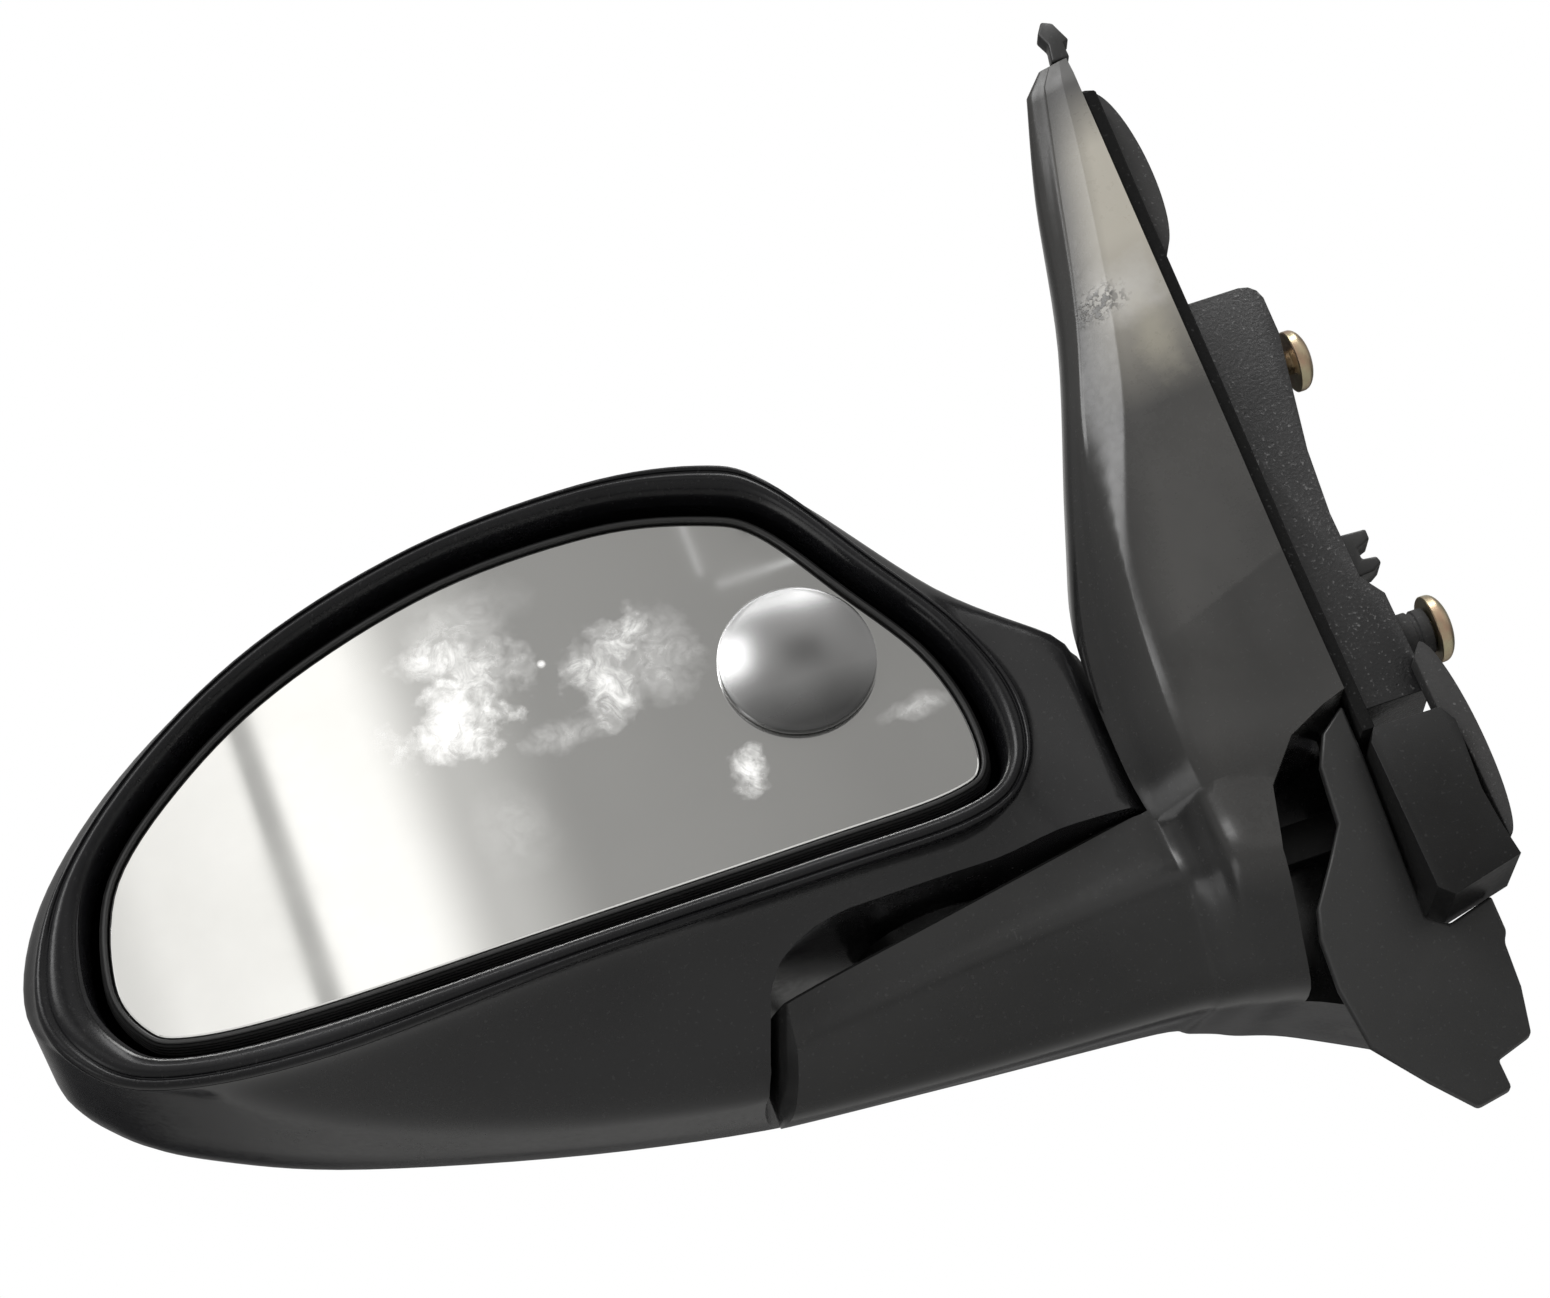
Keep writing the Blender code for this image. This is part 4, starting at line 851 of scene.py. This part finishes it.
def make_door_bracket():
    """Casting that bolts to the door and reaches out through the arm to the pivot."""
    profile = [(-1, 94.5), (14.6, 94.5), (16.6, 94), (18, 92.7), (18.7, 90.6), (18.5, 82),
               (13.4, 55), (12, 40), (12, 25), (15.3, 20), (15.3, 5), (17.9, 0.5), (15, -2.2),
               (-1, -2.2)]
    block = prism("door_bracket_look", profile, "Y", 4, 60)
    side = [(4, -3), (60, -3), (60, 40), (27, 96), (4, 96)]
    combine(block, prism("side", side, "X", -10, 30), "INTERSECT")
    web = [(6, -1), (-4, -2), (-26, -26), (-88, -26), (-88, -16.5), (-36, -13.5), (-26, -5),
           (-12, 14), (6, 40)]
    combine(block, prism("web", web, "Y", 36, 52), "UNION")
    leg = [(3, -3.9), (3, 2), (-6.5, 2), (-7.5, -14), (-17, -30), (-18, -43), (-3, -38),
           (-3, -3.9)]
    combine(block, prism("leg", leg, "Y", 12.5, 17), "UNION")
    combine(block, cylinder("boss", (*PIVOT, 0), (0, 0, 1), 12.0, -26.0, -0.8), "UNION")
    combine(block, cylinder("bore", (*PIVOT, 0), (0, 0, 1), BRACKET_BORE_R, -40, 5), "DIFFERENCE")
    for z in SCREW_Z:
        hole = cylinder("hole", (0, SCREW_Y, z), (1, 0, 0), SCREW_BORE_R, -5, 30)
        combine(block, hole, "DIFFERENCE")
    wires = cylinder("wires", CABLE_AT, (1, 0, 0), CABLE_BORE_R, -5, 30)
    combine(block, wires, "DIFFERENCE")
    return soften(block, 1.1)


def half_moon(flat_x, reach, low, high, points=33):
    """Half-moon outline (X, Z) that bulges inboard from a flat side."""
    middle, half = (low + high) / 2, (high - low) / 2
    return [(flat_x + reach * math.sin(math.pi * i / (points - 1)),
             middle - half * math.cos(math.pi * i / (points - 1))) for i in range(points)]


def make_lower_block():
    """Smooth foot below the bracket, hooked into the cover."""
    outline = [(-1, -9.2), (13, -9.5), (14.8, -13), (13.6, -28), (14.2, -36), (15.2, -43),
               (0, -46.5), (-2.6, -44), (-2.6, -27), (-2.6, -12)]
    lower = prism("lower_block_look", outline, "Y", -4, 13)
    combine(lower, box("root", (-2.4, 12, -32), (8, 35.7, -12)), "UNION")
    combine(lower, box("tongue", (-24, 26, -20), (1, 35.7, -12)), "UNION")
    return soften(lower, 1.0)


def make_tail_flap():
    """Thin skirt that closes the underside next to the door."""
    outline = [(-4, -1.5), (-9.8, -5.7), (-12.5, -11.3), (-13.2, -22.7), (-17.5, -29),
               (-23, -36.5), (-24.5, -42), (-24.6, -52), (-22.5, -64), (-14.1, -73.5), (-6.7, -81),
               (0.7, -79.8), (0.2, -73.9), (8.1, -71.6), (9.6, -62.6), (9.7, -53.6), (10.8, -52),
               (10.4, -44.7), (0.5, -47.2), (-3.4, -44.6), (-3.4, -36), (-3.4, -25), (-3.5, -12)]
    tail = prism("tail_flap_look", outline, "Y", -2, 1)
    for vertex in tail.data.vertices:
        vertex.co.y -= vertex.co.z * FLAP_RAKE
    return soften(tail, 0.8)


def make_screw(name, place_at, axis, shank_r, shank_long, head_r, head_high):
    """Domed screw with a cross recess and ridges for the thread on its shank."""
    profile = [(0, -shank_long), (shank_r * 0.6, -shank_long), (shank_r * 0.92, -shank_long + 1.5)]
    level = -shank_long + 1.8
    while level < -1.6:
        profile += [(shank_r * 0.86, level), (shank_r, level + 0.45)]
        level += 0.9
    profile += [(shank_r * 0.86, -1.0), (shank_r * 0.86, 0)]
    profile += [(head_r - 0.2, 0), (head_r, 0.2), (head_r, head_high * 0.30)]
    for step in range(1, 12):
        angle = math.pi / 2 * step / 12
        profile.append((head_r * math.cos(angle) ** 0.85,
                        head_high * (0.30 + 0.70 * math.sin(angle))))
    profile.append((0, head_high))
    made = turned(name, profile, place_at, axis, "zinc", 48)
    x, y, z = place_at
    top = x + head_high
    for wide, tall in ((0.75, 2.9), (2.9, 0.75)):
        slot = box("slot", (top - 1.6, y - wide, z - tall), (top + 2, y + wide, z + tall))
        combine(made, slot, "DIFFERENCE")
    shade(made.data, 28.0)
    return made


def make_small_parts():
    """Pads, clips, screws, collar and gasket of the base."""
    made = soften(prism("upper_pad_look", half_moon(0.5, 5.4, 103, 144), "Y", -5, 0.4), 0.9)
    place(made, ["upper_pad"], "base", "rubber", "rubber")
    backing = [(15.6, -20), (15.2, -12.7), (13.3, -8.9), (13.4, 3.0)]
    moon = half_moon(15.6, 3.9, -38, 6) + backing[::-1]
    made = soften(prism("lower_pad_look", moon, "Y", -1, 3.7), 0.5)
    place(made, ["lower_pad"], "base", "rubber", "rubber")
    clip = [(12.4, 27), (17, 27.4), (19, 28.6), (18.6, 30.2), (15.6, 30.6), (15.6, 33),
            (18.8, 34.2), (18.9, 36.6), (12.4, 37)]
    made = soften(prism("retaining_clip_look", clip, "Y", 9, 15), 0.5)
    place(made, ["retaining_clip"], "base", "satin_black", "satin")
    barb = [(-6, 149.4), (-2, 149.4), (-2, 153), (-0.6, 153.4), (-2.4, 158.4), (-4.6, 159.4),
            (-6.4, 156.6), (-5.2, 153.6)]
    made = soften(prism("top_clip_look", barb, "Y", -12, -8), 0.5)
    place(made, ["top_clip"], "base", "satin_black", "satin")
    upper_z, lower_z = SCREW_Z
    for name, x, z, long, head_r in (("screw_upper", 20.2, upper_z, 15, 6.5),
                                     ("screw_lower", 22.6, lower_z, 17, 7.0)):
        made = make_screw(f"{name}_look", (x, SCREW_Y, z), (1, 0, 0), SCREW_R, long, head_r,
                          SCREW_HEAD_HIGH)
        place(made, [name], "base", "zinc_yellow", "zinc")
    collar = [(SCREW_BORE_R, 15.6), (4.6, 15.6), (5.0, 15.9), (5.0, 18.6), (4.55, 18.9),
              (4.55, 19.6), (4.9, 19.9), (4.9, 22.0), (4.6, 22.3), (SCREW_BORE_R, 22.3)]
    made = turned("screw_collar_look", collar, (0, SCREW_Y, lower_z), (1, 0, 0), "rubber", 48)
    place(made, ["screw_collar"], "base", "rubber", "rubber")
    inner = offset_loop(GASKET, GASKET_WIDE)
    sections = [(GASKET, -GASKET_THICK), (GASKET, -GASKET_ROUND),
                (offset_loop(GASKET, GASKET_ROUND), 0.0),
                (offset_loop(GASKET, GASKET_WIDE - GASKET_ROUND), 0.0), (inner, -GASKET_ROUND),
                (inner, -GASKET_THICK)]
    rings = [[(x, y, z) for y, z in outline] for outline, x in sections]
    made = loft("door_gasket_look", rings, "rubber", "join")
    place(made, ["door_gasket"], "base", "rubber", "gasket")


for make, node, body, slot_name, look in (
        (make_housing_shell, "housing_shell", "head", "gloss_black", "shell"),
        (make_rim_bezel, "rim_bezel", "head", "satin_black", "channel"),
        (make_glass_holder, "glass_holder", "glass", "satin_black", "satin"),
        (make_mirror_glass, "mirror_glass", "glass", "mirror", "mirror"),
        (make_spot, "blind_spot_mirror", "glass", "mirror", "spot"),
        (make_base_cover, "base_cover", "base", "gloss_black", "cover"),
        (make_door_bracket, "door_bracket", "base", "cast_black", "casting"),
        (make_lower_block, "lower_block", "base", "satin_black", "block"),
        (make_tail_flap, "tail_flap", "base", "satin_black", "satin")):
    place(make(), [node], body, slot_name, look)
make_small_parts()

# Carried-over CAD nodes take the look of their own slot.
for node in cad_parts.values():
    slot_name = node.data.materials[0].name.split(".")[0]
    node.data.materials.clear()
    node.data.materials.append(LOOKS[SLOT_LOOK[slot_name]])


# -------- studio

def glow(name, strength):
    """Plain white emission for a reflection card."""
    made = bpy.data.materials.new(name)
    made.use_nodes = True
    made.node_tree.nodes.clear()
    t = Tree(made.node_tree)
    light = t.add("ShaderNodeEmission", Color=(1.0, 1.0, 1.0, 1.0), Strength=strength)
    t.add("ShaderNodeOutputMaterial", Surface=light.outputs[0])
    return made


def card(name, corners, strength):
    """Flat reflection card that the camera doesn't see."""
    mesh = bpy.data.meshes.new(name)
    mesh.from_pydata(corners, [], [(0, 1, 2, 3)])
    mesh.materials.append(glow(name, strength))
    made = bpy.data.objects.new(name, mesh)
    bpy.context.scene.collection.objects.link(made)
    made.visible_camera = False
    made.visible_diffuse = False
    made.visible_shadow = False
    return made


def wall(name, x_low, x_high, z_low, z_high, y, strength):
    """Upright card behind the camera."""
    return card(name, [(x_low, y, z_low), (x_high, y, z_low), (x_high, y, z_high),
                       (x_low, y, z_high)], strength)


def shaded_wall(name, x_low, x_high, z_low, z_high, y, stops):
    """Upright card whose brightness runs through stops of (share of width, grey)."""
    made = wall(name, x_low, x_high, z_low, z_high, y, 1.0)
    t = Tree(made.data.materials[0].node_tree)
    where = t.add("ShaderNodeTexCoord").outputs["Object"]
    split = t.add("ShaderNodeSeparateXYZ", Vector=where)
    share = t.fill(t.add("ShaderNodeMapRange"), split.outputs["X"], x_low, x_high)
    ramp = t.add("ShaderNodeValToRGB", Fac=share.outputs[0])
    ramp.color_ramp.interpolation = "EASE"
    while len(ramp.color_ramp.elements) < len(stops):
        ramp.color_ramp.elements.new(0.5)
    for element, (position, grey) in zip(ramp.color_ramp.elements, stops):
        element.position = position
        element.color = (grey * 1.01, grey, grey * 0.975, 1.0)
    light = next(node for node in t.tree.nodes if node.type == "EMISSION")
    t.put(light, "Color", ramp.outputs[0])


def area_light(name, where, target, size, power):
    """Soft rectangular light that points at a target."""
    lamp = bpy.data.lights.new(name, "AREA")
    lamp.shape = "RECTANGLE"
    lamp.size, lamp.size_y = size
    lamp.energy = power
    made = bpy.data.objects.new(name, lamp)
    made.location = where
    made.rotation_mode = "QUATERNION"
    made.rotation_quaternion = (Vector(target) - Vector(where)).to_track_quat("-Z", "Y")
    bpy.context.scene.collection.objects.link(made)


def make_world():
    """White to the camera, dimmer and graded from floor to ceiling for the object."""
    world = bpy.data.worlds.new("studio")
    bpy.context.scene.world = world
    world.use_nodes = True
    world.node_tree.nodes.clear()
    t = Tree(world.node_tree)
    where = t.add("ShaderNodeTexCoord").outputs["Generated"]
    split = t.add("ShaderNodeSeparateXYZ", Vector=where)
    cloud = t.add("ShaderNodeTexNoise", Vector=where, Scale=1.7, Detail=2.0)
    patchy = t.math("MULTIPLY_ADD", cloud.outputs["Fac"], 0.9, 0.05)
    rise = t.math("MULTIPLY_ADD", split.outputs["Z"], 0.22, patchy)
    near = t.math("MULTIPLY_ADD", split.outputs["Y"], -0.24, rise)
    ramp = t.add("ShaderNodeValToRGB", Fac=near)
    for element, position, colour in zip(ramp.color_ramp.elements, (0.25, 0.95),
                                         ((0.03, 0.03, 0.032, 1), (1.15, 1.14, 1.12, 1))):
        element.position = position
        element.color = colour
    around = t.add("ShaderNodeBackground", Color=ramp.outputs[0])
    behind = t.add("ShaderNodeBackground", Color=(1, 1, 1, 1))
    path = t.add("ShaderNodeLightPath")
    choose = t.fill(t.add("ShaderNodeMixShader"), path.outputs["Is Camera Ray"],
                    around.outputs[0], behind.outputs[0])
    t.add("ShaderNodeOutputWorld", Surface=choose.outputs[0])


def make_floor():
    """Plain pale floor below the object."""
    mesh = bpy.data.meshes.new("floor")
    corners = ((-1, -1), (1, -1), (1, 1), (-1, 1))
    mesh.from_pydata([(x * FLOOR_REACH, y * FLOOR_REACH, FLOOR_Z) for x, y in corners], [],
                     [(0, 1, 2, 3)])
    n = Nodes("floor_paint")
    n.put(n.shader, "Base Color", n.mix(n.noise(3.0), (0.50, 0.50, 0.50), (0.56, 0.56, 0.55)))
    n.put(n.shader, "Roughness", n.spread(n.noise(8.0), 0, 1, 0.75, 0.9))
    mesh.materials.append(n.made)
    made = bpy.data.objects.new("floor", mesh)
    bpy.context.scene.collection.objects.link(made)


def make_camera():
    """Camera low in front of the glass, looking up and inboard."""
    lens = bpy.data.cameras.new("camera")
    lens.lens = CAMERA_LENS
    lens.sensor_width = CAMERA_SENSOR
    lens.clip_start, lens.clip_end = 0.05, 50.0
    made = bpy.data.objects.new("camera", lens)
    axes = (Vector(CAMERA_RIGHT), Vector(CAMERA_UP), -Vector(CAMERA_VIEW))
    turn = Matrix(axes).transposed().to_4x4()
    made.matrix_world = Matrix.Translation(CAMERA_AT) @ turn
    bpy.context.scene.collection.objects.link(made)
    bpy.context.scene.camera = made


bpy.context.scene.view_settings.view_transform = "Standard"
make_world()
make_floor()
make_camera()
shaded_wall("window_wall", -0.48, 0.72, 0.70, 1.30, CARD_Y, GLASS_STOPS)
for line in ((0.186, 0.190, 1.012, 1.09), (0.196, 0.34, 0.998, 1.003)):
    wall("frame_line", *line, CARD_Y + 0.01, 0.62)
wall("dark_square", 0.229, 0.241, 1.034, 1.05, CARD_Y + 0.01, 0.01)
area_light("key", (-1.3, -2.1, 1.7), (-0.05, 0, 0.05), (1.4, 1.0), 42)
area_light("rim_light", (0.9, -0.6, 1.8), (-0.1, 0, 0.05), (1.2, 0.5), 14)
area_light("strip", (-0.3, -1.3, 2.1), (-0.15, 0, 0.05), (2.2, 0.2), 16)
area_light("fill", (-1.6, -0.6, -0.35), (-0.1, 0, 0.0), (0.9, 0.5), 3)
